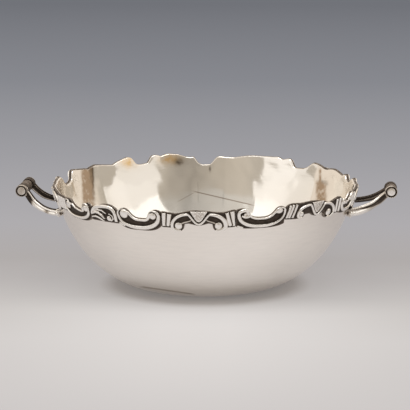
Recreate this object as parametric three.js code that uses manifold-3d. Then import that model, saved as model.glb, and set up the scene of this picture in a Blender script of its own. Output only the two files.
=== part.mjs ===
// Two-handled silver bowl with a border of cast scrolls, leaves and cartouches.
// Millimetres, +Z up, the bowl stands on z = 0 and its handles lie along X.
// Angles round the bowl are in degrees from the front (-Y), growing towards +X.

import * as THREE from 'three';
import { mergeVertices } from 'three/addons/utils/BufferGeometryUtils.js';
import Module from 'manifold-3d';

const wasm = await Module();
wasm.setup();

// Bowl
const bowlHeight = 66.7; // table to the mean line of the rim
const rimRadius = 97.2; // outside of the wall at the rim
const footRadius = 32; // flat that the bowl stands on
const wallThickness = 1;
const sideFullness = 2.11; // higher stands the sides up sooner
const floorFullness = 1.78; // higher lifts the floor's edge faster
const rimRake = 0.818; // 1 would make the wall upright at the rim
const wallSteps = 8;
const wallFacets = 48;

// Border castings
const seatGap = 0.3; // castings to wall, and piece to piece
const castingHeight = 10.6; // mean line of the rim down to the lower edge
const plateThickness = 0.9;
const plateMargin = 0.15; // plate showing beyond its mouldings
const mouldingHeight = 2.3; // face of the broad mouldings above the seat
const broadMoulding = 2.3;
const thinMoulding = 1.6;
const voluteRadius = 4.2;
const volutePin = 1.7; // radius of the button in a volute
const cartouchePin = 2.2;
const buttonRise = 0.2; // buttons stand this far above the mouldings
const curlDrop = 1.6; // a cartouche's curls hang this far below its edge
const barWidth = 2.1;
const barPitch = 3.3;
const rimStep = 0.3; // the sawn edge of the wall sits this far below the castings

// Handles
const crossbarDrop = 3.7; // axis of the crossbar below the mean line of the rim
const scrollRadius = 4.1; // rolled end of an arm
const scrollWidth = 6.2;
const scrollPin = 2.3;
const armSpreadAtBar = 9;
const armSpreadAtWall = 19.5;
const armWidth = 5.8;
const armThickness = 4.1;
const barRings = 4;
const ringRadius = 3.7;
const ringGroove = 0.8;

const rightReach = 23; // from the wall at the rim out to the middle of the crossbar's axis
const leftReach = 19.6;
const rightRootDrop = 15; // where the arms meet the wall, below the rim's mean line
const leftRootDrop = 16.2;

// The two handles were set by eye: each crossbar leans and is skewed by a few degrees. An arm's
// heel and neck are its thickness at the wall and below the scroll, as shares of armThickness.
// lift raises an arm's line and sag deepens its curve, both in millimetres.
const handles = [
  {
    name: 'right', turn: 0, front: -1,
    reach: rightReach, rootDrop: rightRootDrop, lean: 2.5, skew: -1.5,
    frontArm: { heel: 1.25, neck: 1.1, lift: 0, sag: 0 },
    rearArm: { heel: 0.78, neck: 0.85, lift: 0.7, sag: 0 },
  },
  {
    name: 'left', turn: Math.PI, front: 1,
    reach: leftReach, rootDrop: leftRootDrop, lean: 3.5, skew: -6,
    frontArm: { heel: 0.88, neck: 1.05, lift: -0.4, sag: 1.3 },
    rearArm: { heel: 0.7, neck: 0.8, lift: 0.7, sag: 0 },
  },
];

const silver = { color: 0xd9d3cd, roughness: 0.26, metalness: 1 };
const castSilver = { color: 0xcfc8c1, roughness: 0.34, metalness: 1 };

// The castings round the rim, in order, with the angles that each spans. All heights are from
// the mean line of the rim. top is a casting's sawn top line, as points of [share of its half
// length, height], crest the height of its mouldings (a scroll has one at each end) and dip the
// hollow of a scroll. belly is how far a scroll hangs below the castings' lower edge, pins the
// radii of its buttons. A cartouche's curls reach out to its bars from ringTop, and lift raises
// its lower edge at the left and right end.
const border = [
  {
    name: 'scroll_1', kind: scroll, from: -61, to: -44,
    crest: [-1.2, -0.7], dip: -6.3, belly: 2.4, pins: [2.7, 2.2],
    top: [
      [-1, -1.3], [-0.45, -1.2], [-0.35, -2.4], [-0.24, -4], [-0.1, -5], [0.15, -5.9], [0.38, -6.3],
      [0.47, -5.7], [0.53, -4.5], [0.6, -2.8], [0.7, -1.5], [0.84, -0.8], [0.94, -0.7], [1, -1.2],
    ],
  },
  {
    name: 'leaf_1', kind: leaf, from: -44, to: -30.8,
    crest: 0.2, lift: -0.6,
    top: [
      [-1, -2.4], [-0.7, -2.2], [-0.47, -1.3], [-0.17, -0.3], [0.14, 0.4], [0.44, 0.5], [0.67, 0],
      [0.89, -1.3], [1, -2.4],
    ],
  },
  {
    name: 'scroll_2', kind: scroll, from: -30.8, to: -13.3,
    crest: [-0.6, -0.2], dip: -6.1, belly: 3.1, pins: [2.9, 2.3],
    top: [
      [-1, -2.7], [-0.92, -2], [-0.82, -1.1], [-0.7, -0.6], [-0.6, -0.7], [-0.51, -1.3],
      [-0.43, -2.4], [-0.36, -3.6], [-0.28, -4.7], [-0.17, -5.7], [-0.05, -6.1], [0.29, -6.1],
      [0.38, -5.6], [0.44, -4.6], [0.47, -3.4], [0.52, -1.9], [0.6, -0.8], [0.69, -0.3],
      [0.81, -0.2], [0.92, -0.6], [1, -1.1],
    ],
  },
  {
    name: 'cartouche_1', kind: cartouche, from: -13.3, to: 13.6,
    crest: 0.2, reach: [17.1, 18.2], ringTop: [-2.4, -2.4], lift: [-0.4, 0], bars: [2, 2],
    top: [
      [-1, -0.9], [-0.955, -0.8], [-0.83, -1.3], [-0.64, -1.8], [-0.53, -1.7], [-0.42, -1],
      [-0.27, -0.1], [-0.12, 0.3], [0.1, 0.2], [0.32, -0.3], [0.47, -0.8], [0.62, -0.9],
      [0.73, -0.6], [0.83, 0.1], [0.92, 0.5], [1, 0.5],
    ],
  },
  {
    name: 'scroll_3', kind: scroll, from: 13.6, to: 32.7,
    crest: [1.1, 1], dip: -4.9, belly: 1.2, pins: [1.5, 2.3],
    top: [
      [-1, 0.4], [-0.91, 0.9], [-0.8, 1.1], [-0.7, 0.9], [-0.59, -0.1], [-0.53, -1.4],
      [-0.48, -2.7], [-0.38, -3.9], [-0.26, -4.6], [-0.07, -4.9], [0.14, -4.9], [0.3, -4.4],
      [0.42, -3.3], [0.51, -1.9], [0.59, -0.4], [0.66, 0.5], [0.77, 1], [0.84, 0.9], [0.93, 0.3],
      [1, -0.3],
    ],
  },
  {
    name: 'cartouche_2', kind: cartouche, from: 32.7, to: 62.8,
    crest: 1.3, ringTop: [-0.6, -1.9], lift: [2.4, 0.5], reach: [17.4, 18], bars: [2, 2],
    top: [
      [-1, 0.3], [-0.91, 1.5], [-0.81, 1.8], [-0.68, 1.6], [-0.6, 1.4], [-0.48, 1.5], [-0.22, 1.8],
      [-0.02, 1.3], [0.18, 0.4], [0.35, -0.7], [0.48, -1.3], [0.58, -0.9], [0.71, 0.1], [0.85, 0.6],
      [0.95, 0.2], [1, -0.5],
    ],
  },
  {
    name: 'scroll_4', kind: scroll, from: 62.8, to: 75,
    crest: [-0.5, 0.6], dip: -4.2, belly: 0.5,
    top: [
      [-1, -0.5], [-0.84, -1.8], [-0.56, -3.4], [-0.07, -3.9], [0.1, -3.4], [0.26, -1.9],
      [0.43, 0.1], [0.6, 0.6], [1, 0.1],
    ],
  },
  {
    name: 'cartouche_3', kind: cartouche, from: 75, to: 97,
    crest: 1, bars: [1, 2],
    top: [
      [-1, 0.1], [-0.8, 0.3], [-0.55, 0], [-0.2, 0.9], [0.1, 1], [0.45, 0.2], [0.6, -0.3],
      [0.8, 0.1], [1, 0.3],
    ],
  },
  {
    name: 'scroll_5', kind: scroll, from: 97, to: 112.5,
    crest: [1.2, 0.8], dip: -2.4, belly: 0.5,
    top: [
      [-1, 0.3], [-0.7, 1.2], [-0.55, 0.6], [-0.42, -1.2], [-0.25, -2.3], [0.2, -2.4], [0.4, -1.6],
      [0.5, 0], [0.62, 0.8], [0.85, 0.3], [1, -0.7],
    ],
  },
  {
    name: 'leaf_2', kind: leaf, from: 112.5, to: 131.3, crest: 1.4,
    top: [
      [-1, -0.8], [-0.79, -0.1], [-0.36, 1.2], [-0.15, 1.4], [0.06, 1.1], [0.28, 0.3], [0.44, 0.2],
      [0.6, 0.7], [0.75, 1.5], [1, 2.3],
    ],
  },
  {
    name: 'scroll_6', kind: scroll, from: 131.3, to: 149.3, crest: [2.5, 2.8], dip: -2.8, belly: 0.7,
    top: [
      [-1, 2.3], [-0.87, 2.5], [-0.76, 2.5], [-0.64, 1.4], [-0.42, -1], [-0.2, -2.4], [0.24, -2.8],
      [0.36, -2.2], [0.41, -1.2], [0.5, 1.2], [0.58, 2.4], [0.69, 2.8], [0.8, 2.5], [1, 1.7],
    ],
  },
  {
    name: 'cartouche_4', kind: cartouche, from: 149.3, to: 174, crest: 2.7, bars: [2, 2],
    top: [
      [-1, 1.7], [-0.86, 3], [-0.78, 3.2], [-0.66, 2.9], [0.07, 2.8], [0.23, 2.6], [0.47, 1.9],
      [0.72, 1], [1, 1.1],
    ],
  },
  {
    name: 'scroll_7', kind: scroll, from: 174, to: 189.8, crest: [1.5, 1.3], dip: -4.2, belly: 0.7,
    top: [
      [-1, 1.1], [-0.8, 1.5], [-0.66, 1.5], [-0.55, 1], [-0.43, -0.6], [-0.3, -2.8], [-0.2, -4],
      [0.2, -4.2], [0.36, -3.6], [0.47, -2.6], [0.6, 0.2], [0.68, 1.2], [0.84, 0.9], [1, 1.1],
    ],
  },
  {
    name: 'leaf_3', kind: leaf, from: 189.8, to: 200.8, crest: 3.6,
    top: [
      [-1, 1.1], [-0.87, 1.4], [-0.6, 2.2], [-0.33, 3], [0.04, 3.4], [0.4, 3.7], [0.76, 3.1], [1, 2.2],
    ],
  },
  {
    name: 'scroll_8', kind: scroll, from: 200.8, to: 217.8, crest: [3.4, 3.4], dip: -2.3, belly: 0.7,
    top: [
      [-1, 2.2], [-0.9, 2.9], [-0.74, 3.4], [-0.6, 3], [-0.5, 1.9], [-0.41, 0], [-0.33, -1.7],
      [0, -2.3], [0.22, -2.2], [0.33, -1.4], [0.41, 0.2], [0.5, 2.1], [0.62, 3.1], [0.73, 3.4], [1, 2.4],
    ],
  },
  {
    name: 'cartouche_5', kind: cartouche, from: 217.8, to: 245, crest: 1, bars: [2, 2],
    top: [
      [-1, 2.4], [-0.73, 0.4], [-0.62, -0.6], [-0.36, 0.1], [0.08, 1.4], [0.3, 0.4], [0.41, -0.3],
      [0.52, 0.1], [1, 1.2],
    ],
  },
  {
    name: 'scroll_9', kind: scroll, from: 245, to: 264, crest: [1.6, 1], dip: -5.6, belly: 1.1,
    top: [
      [-1, 1.2], [-0.76, 1.7], [-0.64, 1.2], [-0.56, -1], [-0.48, -4], [-0.22, -5.4], [0.2, -5.6],
      [0.4, -3], [0.55, 0], [0.75, 1], [1, 0.6],
    ],
  },
  {
    name: 'cartouche_6', kind: cartouche, from: 264, to: 299,
    crest: 0.4, bars: [3, 4],
    top: [
      [-1, 0.5], [-0.85, 0.2], [-0.65, -0.9], [-0.4, -0.3], [-0.1, 0.4], [0.15, 0.4], [0.4, -0.3],
      [0.6, -1.2], [0.8, -1.1], [1, -1.3],
    ],
  },
];

// Solids

function toSolid(geometry) {
  const plain = geometry.clone();
  for (const name of Object.keys(plain.attributes)) {
    if (name !== 'position') plain.deleteAttribute(name);
  }
  const merged = mergeVertices(plain, 1e-3);
  const position = merged.attributes.position;
  const a = new THREE.Vector3();
  const b = new THREE.Vector3();
  const c = new THREE.Vector3();
  const triangles = [];
  let volume = 0;
  for (let i = 0; i < merged.index.count; i += 3) {
    const [p, q, r] = [merged.index.getX(i), merged.index.getX(i + 1), merged.index.getX(i + 2)];
    if (p === q || q === r || r === p) continue;
    a.fromBufferAttribute(position, p);
    b.fromBufferAttribute(position, q);
    c.fromBufferAttribute(position, r);
    volume += a.dot(b.cross(c));
    triangles.push([p, q, r]);
  }
  const outward = triangles.map(([p, q, r]) => (volume > 0 ? [p, q, r] : [p, r, q]));
  return new wasm.Manifold(new wasm.Mesh({
    numProp: 3,
    vertProperties: new Float32Array(position.array),
    triVerts: new Uint32Array(outward.flat()),
  }));
}

function toGeometry(solid) {
  const { vertProperties, triVerts } = solid.getMesh();
  const geometry = new THREE.BufferGeometry();
  geometry.setAttribute('position', new THREE.BufferAttribute(new Float32Array(vertProperties), 3));
  geometry.setIndex(new THREE.BufferAttribute(new Uint32Array(triVerts), 1));
  geometry.computeVertexNormals();
  return geometry;
}

function joined(solids) {
  return solids.reduce((whole, piece) => whole.add(piece));
}

// A skin over rings of points, closed by its end faces, or into a hoop.
function loft(rings, hoop = false) {
  const sides = rings[0].length;
  const position = rings.flat().flatMap((p) => [p.x, p.y, p.z]);
  const index = [];
  const bays = hoop ? rings.length : rings.length - 1;
  for (let i = 0; i < bays; i++) {
    const next = ((i + 1) % rings.length) * sides;
    for (let j = 0; j < sides; j++) {
      const k = (j + 1) % sides;
      index.push(i * sides + j, i * sides + k, next + k);
      index.push(i * sides + j, next + k, next + j);
    }
  }
  if (!hoop) {
    for (const [ring, facesBack] of [[0, true], [rings.length - 1, false]]) {
      const centre = new THREE.Vector3();
      rings[ring].forEach((p) => centre.addScaledVector(p, 1 / sides));
      const hub = position.length / 3;
      position.push(centre.x, centre.y, centre.z);
      for (let j = 0; j < sides; j++) {
        const edge = [ring * sides + j, ring * sides + ((j + 1) % sides)];
        index.push(...(facesBack ? [edge[1], edge[0], hub] : [edge[0], edge[1], hub]));
      }
    }
  }
  const geometry = new THREE.BufferGeometry();
  geometry.setAttribute('position', new THREE.Float32BufferAttribute(position, 3));
  geometry.setIndex(index);
  return toSolid(geometry);
}

function turned(profile, facets) {
  const geometry = new THREE.LatheGeometry(profile, facets);
  geometry.rotateX(Math.PI / 2);
  return toSolid(geometry);
}

// Bowl wall

// Outside radius of the wall at height z above the table.
function wallRadius(z) {
  const fullness = (t) => (1 - (1 - rimRake * t) ** floorFullness) ** (1 / sideFullness);
  const t = Math.max(z / bowlHeight, 0);
  return footRadius + ((rimRadius - footRadius) * fullness(t)) / fullness(1);
}

// Points of the wall's section from the foot to height top, moved inwards by depth.
function wallSection(top, depth) {
  const points = [];
  for (let i = 0; i <= wallSteps; i++) {
    const z = top * (i / wallSteps) ** 2;
    const step = 0.01;
    const rise = new THREE.Vector2(wallRadius(z + step) - wallRadius(z), step).normalize();
    if (i === 0) rise.set(1, 0);
    points.push(new THREE.Vector2(wallRadius(z) - rise.y * depth, z + rise.x * depth));
  }
  return points;
}

// A point on the casting seat: s along the rim from the angle middle, z from the rim's mean
// line, h outwards from the seat.
function onRim(middle, s, z, h) {
  const angle = THREE.MathUtils.degToRad(middle) + s / rimRadius;
  const radius = wallRadius(bowlHeight + z) + seatGap + h;
  return new THREE.Vector3(radius * Math.sin(angle), -radius * Math.cos(angle), bowlHeight + z);
}

// Border castings

// A moulding, flat on its seat, along a path of [s, z, share of its width] points.
function moulding(middle, path, width, height) {
  const rings = path.map(([s, z, share = 1], i) => {
    const before = path[Math.max(i - 1, 0)];
    const after = path[Math.min(i + 1, path.length - 1)];
    const run = Math.hypot(after[0] - before[0], after[1] - before[1]);
    const side = [-(after[1] - before[1]) / run, (after[0] - before[0]) / run];
    const corner = (place, h) => {
      const across = place * share * width;
      return onRim(middle, s + side[0] * across, z + side[1] * across, h);
    };
    return [corner(-0.5, 0.1), corner(0.5, 0.1), corner(0.28, height), corner(-0.28, height)];
  });
  return loft(rings);
}

function button(middle, s, z, radius) {
  const facets = 6;
  const ring = (size, h) => {
    const points = [];
    for (let i = 0; i < facets; i++) {
      const turn = (i / facets) * 2 * Math.PI;
      points.push(onRim(middle, s + size * Math.cos(turn), z + size * Math.sin(turn), h));
    }
    return points;
  };
  return loft([ring(radius, 0.1), ring(radius * 0.7, mouldingHeight + buttonRise)]);
}

// The thin plate behind a casting's mouldings, from columns of [s, top, bottom].
function plate(middle, columns) {
  return loft(columns.map(([s, top, bottom]) => [
    onRim(middle, s, bottom, 0),
    onRim(middle, s, bottom, plateThickness),
    onRim(middle, s, top, plateThickness),
    onRim(middle, s, top, 0),
  ]));
}

// Points on an oval round [s, z] from one angle to another; fullness under 1 squares it.
function oval([s, z], [wide, high], start, end, steps, fullness = 1) {
  const points = [];
  for (let i = 0; i <= steps; i++) {
    const angle = THREE.MathUtils.degToRad(start + ((end - start) * i) / steps);
    const x = Math.cos(angle);
    const y = Math.sin(angle);
    points.push([
      s + wide * Math.sign(x) * Math.abs(x) ** fullness,
      z + high * Math.sign(y) * Math.abs(y) ** fullness,
    ]);
  }
  return points;
}

// An open C lying on its back, a volute at each end and a hollow between two mouldings.
function scroll({ half, top, crest, dip, belly, pins = [volutePin, volutePin] }) {
  const volute = Math.min(voluteRadius, half * 0.44);
  const track = volute - broadMoulding / 2 - plateMargin;
  const hub = half - volute;
  const low = -castingHeight - belly;
  const bottom = (s) => low - plateMargin + (belly + 1.5) * (s / half) ** 4;
  const [left, right] = crest.map((peak) => peak - volute);
  const under = (level) => level - low - broadMoulding / 2;
  const outer = [
    ...oval([-hub, left], [track, track], -25, 145, 3),
    ...oval([0, left], [hub + track, under(left)], 180, 257, 3, 0.85),
    ...oval([0, right], [hub + track, under(right)], 283, 360, 3, 0.85),
    ...oval([hub, right], [track, track], 35, 205, 3),
  ];
  outer[0].push(0.5);
  outer.at(-1).push(0.5);
  const lipBase = dip - thinMoulding / 2;
  const lipHalf = hub - track * 0.8;
  const lipFall = (level) => Math.max(level - 0.4, dip) - lipBase;
  const lip = [
    ...oval([0, lipBase + lipFall(left)], [lipHalf, lipFall(left)], 180, 250, 2, 0.5),
    ...oval([0, lipBase + lipFall(right)], [lipHalf, lipFall(right)], 290, 360, 2, 0.5),
  ];
  return {
    columns: top.map(([share, z]) => [share * half, z, bottom(share * half)]),
    mouldings: [
      { path: outer, width: broadMoulding, height: mouldingHeight },
      { path: lip, width: thinMoulding, height: mouldingHeight * 0.8 },
    ],
    buttons: [[-hub, left, pins[0]], [hub, right, pins[1]]],
  };
}

// Height of a line of [s, z] points at s.
function heightAt(line, s) {
  const next = line.findIndex(([place]) => place >= s);
  const [before, after] = [line[Math.max(next, 1) - 1], line[Math.max(next, 1)]];
  return THREE.MathUtils.mapLinear(s, before[0], after[0], before[1], after[1]);
}

// Two scrolls face a bell-shaped drop, with upright bars at both ends.
function cartouche({
  half, top, crest, bars, lift = [0, 0], reach = bars.map((count) => half - count * barPitch),
  ringTop = [crest - 2.6, crest - 2.6],
}) {
  const low = (s) => -castingHeight + THREE.MathUtils.lerp(lift[0], lift[1], (s / half + 1) / 2);
  const topLine = top.map(([share, z]) => [share * half, z]);
  const dropHalf = Math.min(...reach) * 0.4;
  const bottoms = [[0, low(0) + 0.6]];
  const mouldings = [];
  const buttons = [];
  for (const [i, side] of [-1, 1].entries()) {
    const hub = reach[i] * 0.7;
    const pinHeight = low(side * hub) + 1.2;
    const edge = [
      [dropHalf * 0.7, 2.6],
      [(hub + dropHalf) / 2, 2.4],
      [hub, -curlDrop],
      [reach[i], -curlDrop / 2],
      [half, 0],
    ];
    for (const [s, rise] of edge) {
      bottoms.push([side * s, low(side * s) + rise]);
    }
    const outside = reach[i] - broadMoulding / 2 - plateMargin;
    const over = oval([dropHalf, pinHeight], [outside - dropHalf, ringTop[i] - pinHeight], 90, 0, 4, 0.8);
    const curl = outside - hub;
    const path = [
      ...over.slice(0, -1),
      [outside, pinHeight, 0.9],
      [hub + curl * 0.75, pinHeight - curl * 0.6, 0.6],
      [hub + curl * 0.2, pinHeight - curl * 0.8, 0.3],
    ];
    mouldings.push({
      path: path.map(([s, z, share]) => [side * s, z, share]),
      width: broadMoulding,
      height: mouldingHeight,
    });
    buttons.push([side * hub, pinHeight, cartouchePin]);
    const pitch = (half - reach[i]) / bars[i];
    for (let bar = 0; bar < bars[i]; bar++) {
      const s = side * (reach[i] + pitch * (bar + 0.52));
      const head = heightAt(topLine, s) - 0.2;
      mouldings.push({
        path: [[s, head, 1.2], [s, (head + low(s)) / 2, 0.9], [s, low(s) + 0.2, 1.2]],
        width: Math.min(barWidth, pitch * 0.8),
        height: mouldingHeight * 0.85,
      });
    }
  }
  const drop = [];
  const dropSteps = 5;
  for (let i = 0; i <= dropSteps; i++) {
    const share = (2 * i) / dropSteps - 1;
    const depth = (0.5 + 0.5 * Math.cos(Math.PI * share)) ** 0.8;
    const s = dropHalf * share;
    drop.push([s, THREE.MathUtils.lerp(ringTop[Number(share > 0)], low(s) + 1.4, depth)]);
  }
  mouldings.push({ path: drop, width: thinMoulding, height: mouldingHeight * 0.9 });
  bottoms.sort((a, b) => a[0] - b[0]);
  const places = [...topLine, ...bottoms].map(([s]) => s).sort((a, b) => a - b);
  const apart = places.filter((s, i) => i === 0 || s - places[i - 1] > 1e-3);
  return {
    columns: apart.map((s) => [s, heightAt(topLine, s), heightAt(bottoms, s)]),
    mouldings,
    buttons,
  };
}

// A leaf curls over to a small button, with two petals under it.
function leaf({ half, top, crest, lift = 0 }) {
  const low = -castingHeight + lift;
  const peak = half * 0.28;
  const side = half - broadMoulding / 2 - plateMargin;
  const foot = low + 2.8;
  const rise = crest - broadMoulding / 2 - foot;
  const arch = [
    ...oval([peak, foot], [side + peak, rise], 180, 90, 4, 0.8),
    ...oval([peak, foot], [side - peak, rise], 90, 0, 3, 0.8).slice(1),
    [side, low + 0.2],
  ];
  const petals = [[3.7, 1.3], [1.6, 0.3]].map(([start, end]) => [
    [-side, low + start, 0.7],
    [-half * 0.2, low + (start + end) / 2 + 0.5],
    [peak, low + end, 0.5],
  ]);
  return {
    columns: top.map(([share, z]) => [share * half, z, low]),
    mouldings: [
      { path: arch, width: broadMoulding, height: mouldingHeight },
      ...petals.map((path) => ({ path, width: thinMoulding, height: mouldingHeight * 0.85 })),
    ],
    buttons: [[half * 0.58, low + 2.2, volutePin * 0.8]],
  };
}

const castings = border.map((casting) => {
  const middle = (casting.from + casting.to) / 2;
  const half = (THREE.MathUtils.degToRad(casting.to - casting.from) * rimRadius - seatGap) / 2;
  return { ...casting, middle, ...casting.kind({ ...casting, half }) };
});

function castingSolid({ middle, columns, mouldings, buttons }) {
  return joined([
    plate(middle, columns),
    ...mouldings.map(({ path, width, height }) => moulding(middle, path, width, height)),
    ...buttons.map(([s, z, radius]) => button(middle, s, z, radius)),
  ]);
}

// Bowl: a raised shell, made too tall and sawn to just below the castings' top edges.
function bowlSolid() {
  const spare = 8;
  const outside = wallSection(bowlHeight + spare, 0);
  const inside = wallSection(bowlHeight + spare, wallThickness);
  const shell = turned([
    new THREE.Vector2(0, 0),
    ...outside,
    ...inside.reverse(),
    new THREE.Vector2(0, wallThickness),
  ], wallFacets);
  const sawn = castings.flatMap(({ middle, columns }) => columns.map(([s, top]) => {
    const angle = THREE.MathUtils.degToRad(middle) + s / rimRadius;
    return { angle, z: bowlHeight + top - rimStep };
  }));
  const cutterHalf = 15;
  const cutter = loft(sawn.map(({ angle, z }) => {
    const corner = (radius, height) => (
      new THREE.Vector3(radius * Math.sin(angle), -radius * Math.cos(angle), height));
    return [
      corner(rimRadius - cutterHalf, z),
      corner(rimRadius + cutterHalf, z),
      corner(rimRadius + cutterHalf, bowlHeight + spare * 2),
      corner(rimRadius - cutterHalf, bowlHeight + spare * 2),
    ];
  }), true);
  return shell.subtract(cutter);
}

// Handles: drawn for one at +X, x outwards from the bowl's axis.

const crossbarZ = bowlHeight - crossbarDrop;

// The middle of the rolled bar at a distance along it: it leans, and it may be skewed.
function onCrossbar({ reach, lean, skew }, along) {
  return new THREE.Vector3(
    rimRadius + reach - along * Math.tan(THREE.MathUtils.degToRad(skew)),
    along,
    crossbarZ - along * Math.tan(THREE.MathUtils.degToRad(lean)),
  );
}

// Stands a turned piece on the crossbar's axis, its outer end towards side.
function placeOnCrossbar(solid, handle, along, side) {
  const geometry = toGeometry(solid);
  geometry.rotateX(side > 0 ? -Math.PI / 2 : Math.PI / 2);
  geometry.rotateX(-THREE.MathUtils.degToRad(handle.lean));
  geometry.rotateZ(THREE.MathUtils.degToRad(handle.skew));
  geometry.translate(...onCrossbar(handle, along).toArray());
  return toSolid(geometry);
}

// The space that the bowl and its border take, with the gap that the handles keep to them.
function bowlEnvelope() {
  const borderBottom = bowlHeight - castingHeight - curlDrop - seatGap;
  const below = wallSection(borderBottom, 0).map((p) => new THREE.Vector2(p.x + seatGap, p.y));
  const borderRadius = rimRadius + seatGap + mouldingHeight + buttonRise + seatGap;
  return turned([
    new THREE.Vector2(0, 0),
    ...below,
    new THREE.Vector2(borderRadius, borderBottom),
    new THREE.Vector2(borderRadius, bowlHeight + castingHeight),
    new THREE.Vector2(0, bowlHeight + castingHeight),
  ], wallFacets);
}

// Section of an arm, as shares of its width and thickness: two ridges with a flute between.
const armSection = [
  [-0.5, -0.35], [-0.3, -0.5], [0.3, -0.5], [0.5, -0.35],
  [0.5, 0.2], [0.36, 0.5], [0, 0.12], [-0.36, 0.5], [-0.5, 0.2],
];

function armSolid(handle, arm, side, envelope) {
  const bar = onCrossbar(handle, side * armSpreadAtBar);
  const rootHeight = bowlHeight - handle.rootDrop;
  const rootRadius = wallRadius(rootHeight);
  const span = bar.x - scrollRadius - rootRadius;
  const rise = bar.z - rootHeight;
  const track = scrollRadius - 0.8;
  const out = (share, drop, sagShare, thickness) => [
    rootRadius + span * share,
    bar.z - rise * drop + arm.lift - arm.sag * sagShare,
    thickness,
  ];
  const over = (angle, thickness) => [
    bar.x + track * Math.cos(THREE.MathUtils.degToRad(angle)),
    bar.z + track * Math.sin(THREE.MathUtils.degToRad(angle)),
    thickness,
  ];
  // Out from inside the wall, up to the scroll and over its top, thinning as it goes
  const line = [
    out(-0.1, 1, 0, arm.heel),
    out(0.2, 0.97, 0.3, arm.heel),
    out(0.47, 0.84, 0.7, arm.heel),
    out(0.68, 0.67, 1, arm.neck),
    out(0.87, 0.44, 0.9, arm.neck),
    over(203, 0.9),
    over(155, 0.5),
    over(110, 0.38),
    over(70, 0.38),
  ];
  const spread = (x) => {
    const share = THREE.MathUtils.smoothstep(x, rootRadius, rootRadius + span);
    return THREE.MathUtils.lerp(armSpreadAtWall, armSpreadAtBar, share);
  };
  const curve = new THREE.CatmullRomCurve3(line.map(([x, z]) => (
    new THREE.Vector3(x, side * spread(x), z))));
  const steps = 13;
  const rings = [];
  for (let i = 0; i <= steps; i++) {
    const centre = curve.getPoint(i / steps);
    const place = (i / steps) * (line.length - 1);
    const before = line[Math.floor(place)];
    const after = line[Math.min(Math.floor(place) + 1, line.length - 1)];
    const thickness = armThickness * THREE.MathUtils.lerp(before[2], after[2], place % 1);
    const forward = curve.getTangent(i / steps);
    const across = new THREE.Vector3(0, 1, -Math.tan(THREE.MathUtils.degToRad(handle.lean)));
    across.normalize();
    const up = new THREE.Vector3().crossVectors(forward, across).normalize();
    rings.push(armSection.map(([w, t]) => (
      centre.clone().addScaledVector(across, w * armWidth).addScaledVector(up, t * thickness))));
  }
  const face = scrollWidth / 2;
  const end = turned([
    new THREE.Vector2(0, -face),
    new THREE.Vector2(scrollRadius, -face),
    new THREE.Vector2(scrollRadius, face - 0.2),
    new THREE.Vector2(scrollPin + 0.6, face - 0.2),
    new THREE.Vector2(scrollPin + 0.6, face - 0.9),
    new THREE.Vector2(scrollPin, face - 0.9),
    new THREE.Vector2(scrollPin, face),
    new THREE.Vector2(0, face),
  ], 14);
  const placed = placeOnCrossbar(end, handle, side * armSpreadAtBar, side);
  return loft(rings).add(placed).subtract(envelope);
}

function crossbarSolid(handle) {
  const halfLength = armSpreadAtBar - scrollWidth / 2 - seatGap;
  const ringWidth = (2 * halfLength) / barRings;
  const profile = [new THREE.Vector2(0, -halfLength)];
  for (let i = 0; i < barRings; i++) {
    const start = -halfLength + i * ringWidth;
    profile.push(new THREE.Vector2(ringRadius - ringGroove, start));
    profile.push(new THREE.Vector2(ringRadius, start + ringWidth * 0.3));
    profile.push(new THREE.Vector2(ringRadius, start + ringWidth * 0.7));
  }
  profile.push(new THREE.Vector2(ringRadius - ringGroove, halfLength));
  profile.push(new THREE.Vector2(0, halfLength));
  return placeOnCrossbar(turned(profile, 12), handle, 0, 1);
}

// Assembly

const bowl = new THREE.Group();

function addPiece(name, solid, finish, turn = 0) {
  const mesh = new THREE.Mesh(toGeometry(solid), new THREE.MeshStandardMaterial(finish));
  mesh.name = name;
  mesh.rotation.z = turn;
  bowl.add(mesh);
}

addPiece('bowl_body', bowlSolid(), silver);
for (const casting of castings) {
  addPiece(casting.name, castingSolid(casting), castSilver);
}
const envelope = bowlEnvelope();
for (const handle of handles) {
  const { name, turn, front } = handle;
  const frontArm = armSolid(handle, handle.frontArm, front, envelope);
  const rearArm = armSolid(handle, handle.rearArm, -front, envelope);
  addPiece(`${name}_handle_front_arm`, frontArm, castSilver, turn);
  addPiece(`${name}_handle_rear_arm`, rearArm, castSilver, turn);
  addPiece(`${name}_handle_crossbar`, crossbarSolid(handle), castSilver, turn);
}

export default bowl;
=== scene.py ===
"""A two-handled silver bowl with a border of cast scrolls, leaves and cartouches.

Lengths are in millimetres while a piece is modelled; to_frame brings its mesh to the frame's
metres. The floor, the lamps and the camera are in metres. The bowl stands on z = 0, its handles
lie along X and -Y is the front.
"""

import math

import bpy
import numpy as np
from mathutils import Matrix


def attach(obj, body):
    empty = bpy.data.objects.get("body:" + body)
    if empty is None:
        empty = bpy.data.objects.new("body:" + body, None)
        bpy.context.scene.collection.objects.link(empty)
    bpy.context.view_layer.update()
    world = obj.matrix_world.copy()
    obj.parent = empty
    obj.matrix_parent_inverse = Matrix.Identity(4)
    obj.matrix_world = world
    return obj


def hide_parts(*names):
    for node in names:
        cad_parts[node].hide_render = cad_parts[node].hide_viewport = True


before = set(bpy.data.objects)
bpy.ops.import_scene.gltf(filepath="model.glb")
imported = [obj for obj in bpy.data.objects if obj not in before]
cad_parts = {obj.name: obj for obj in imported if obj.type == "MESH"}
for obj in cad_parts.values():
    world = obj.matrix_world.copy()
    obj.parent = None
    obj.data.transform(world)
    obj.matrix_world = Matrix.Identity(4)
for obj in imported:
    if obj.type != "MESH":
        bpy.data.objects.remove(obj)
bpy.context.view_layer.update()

# The bowl's wall
# One disc of silver raised by hammering, with a flattened bottom and no foot. This is the
# line of its wall, which the castings and the handles are fitted to.

bowl_height = 66.7
rim_radius = 97.2
foot_radius = 32.0
side_fullness = 2.11
floor_fullness = 1.78
rim_rake = 0.818


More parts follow.
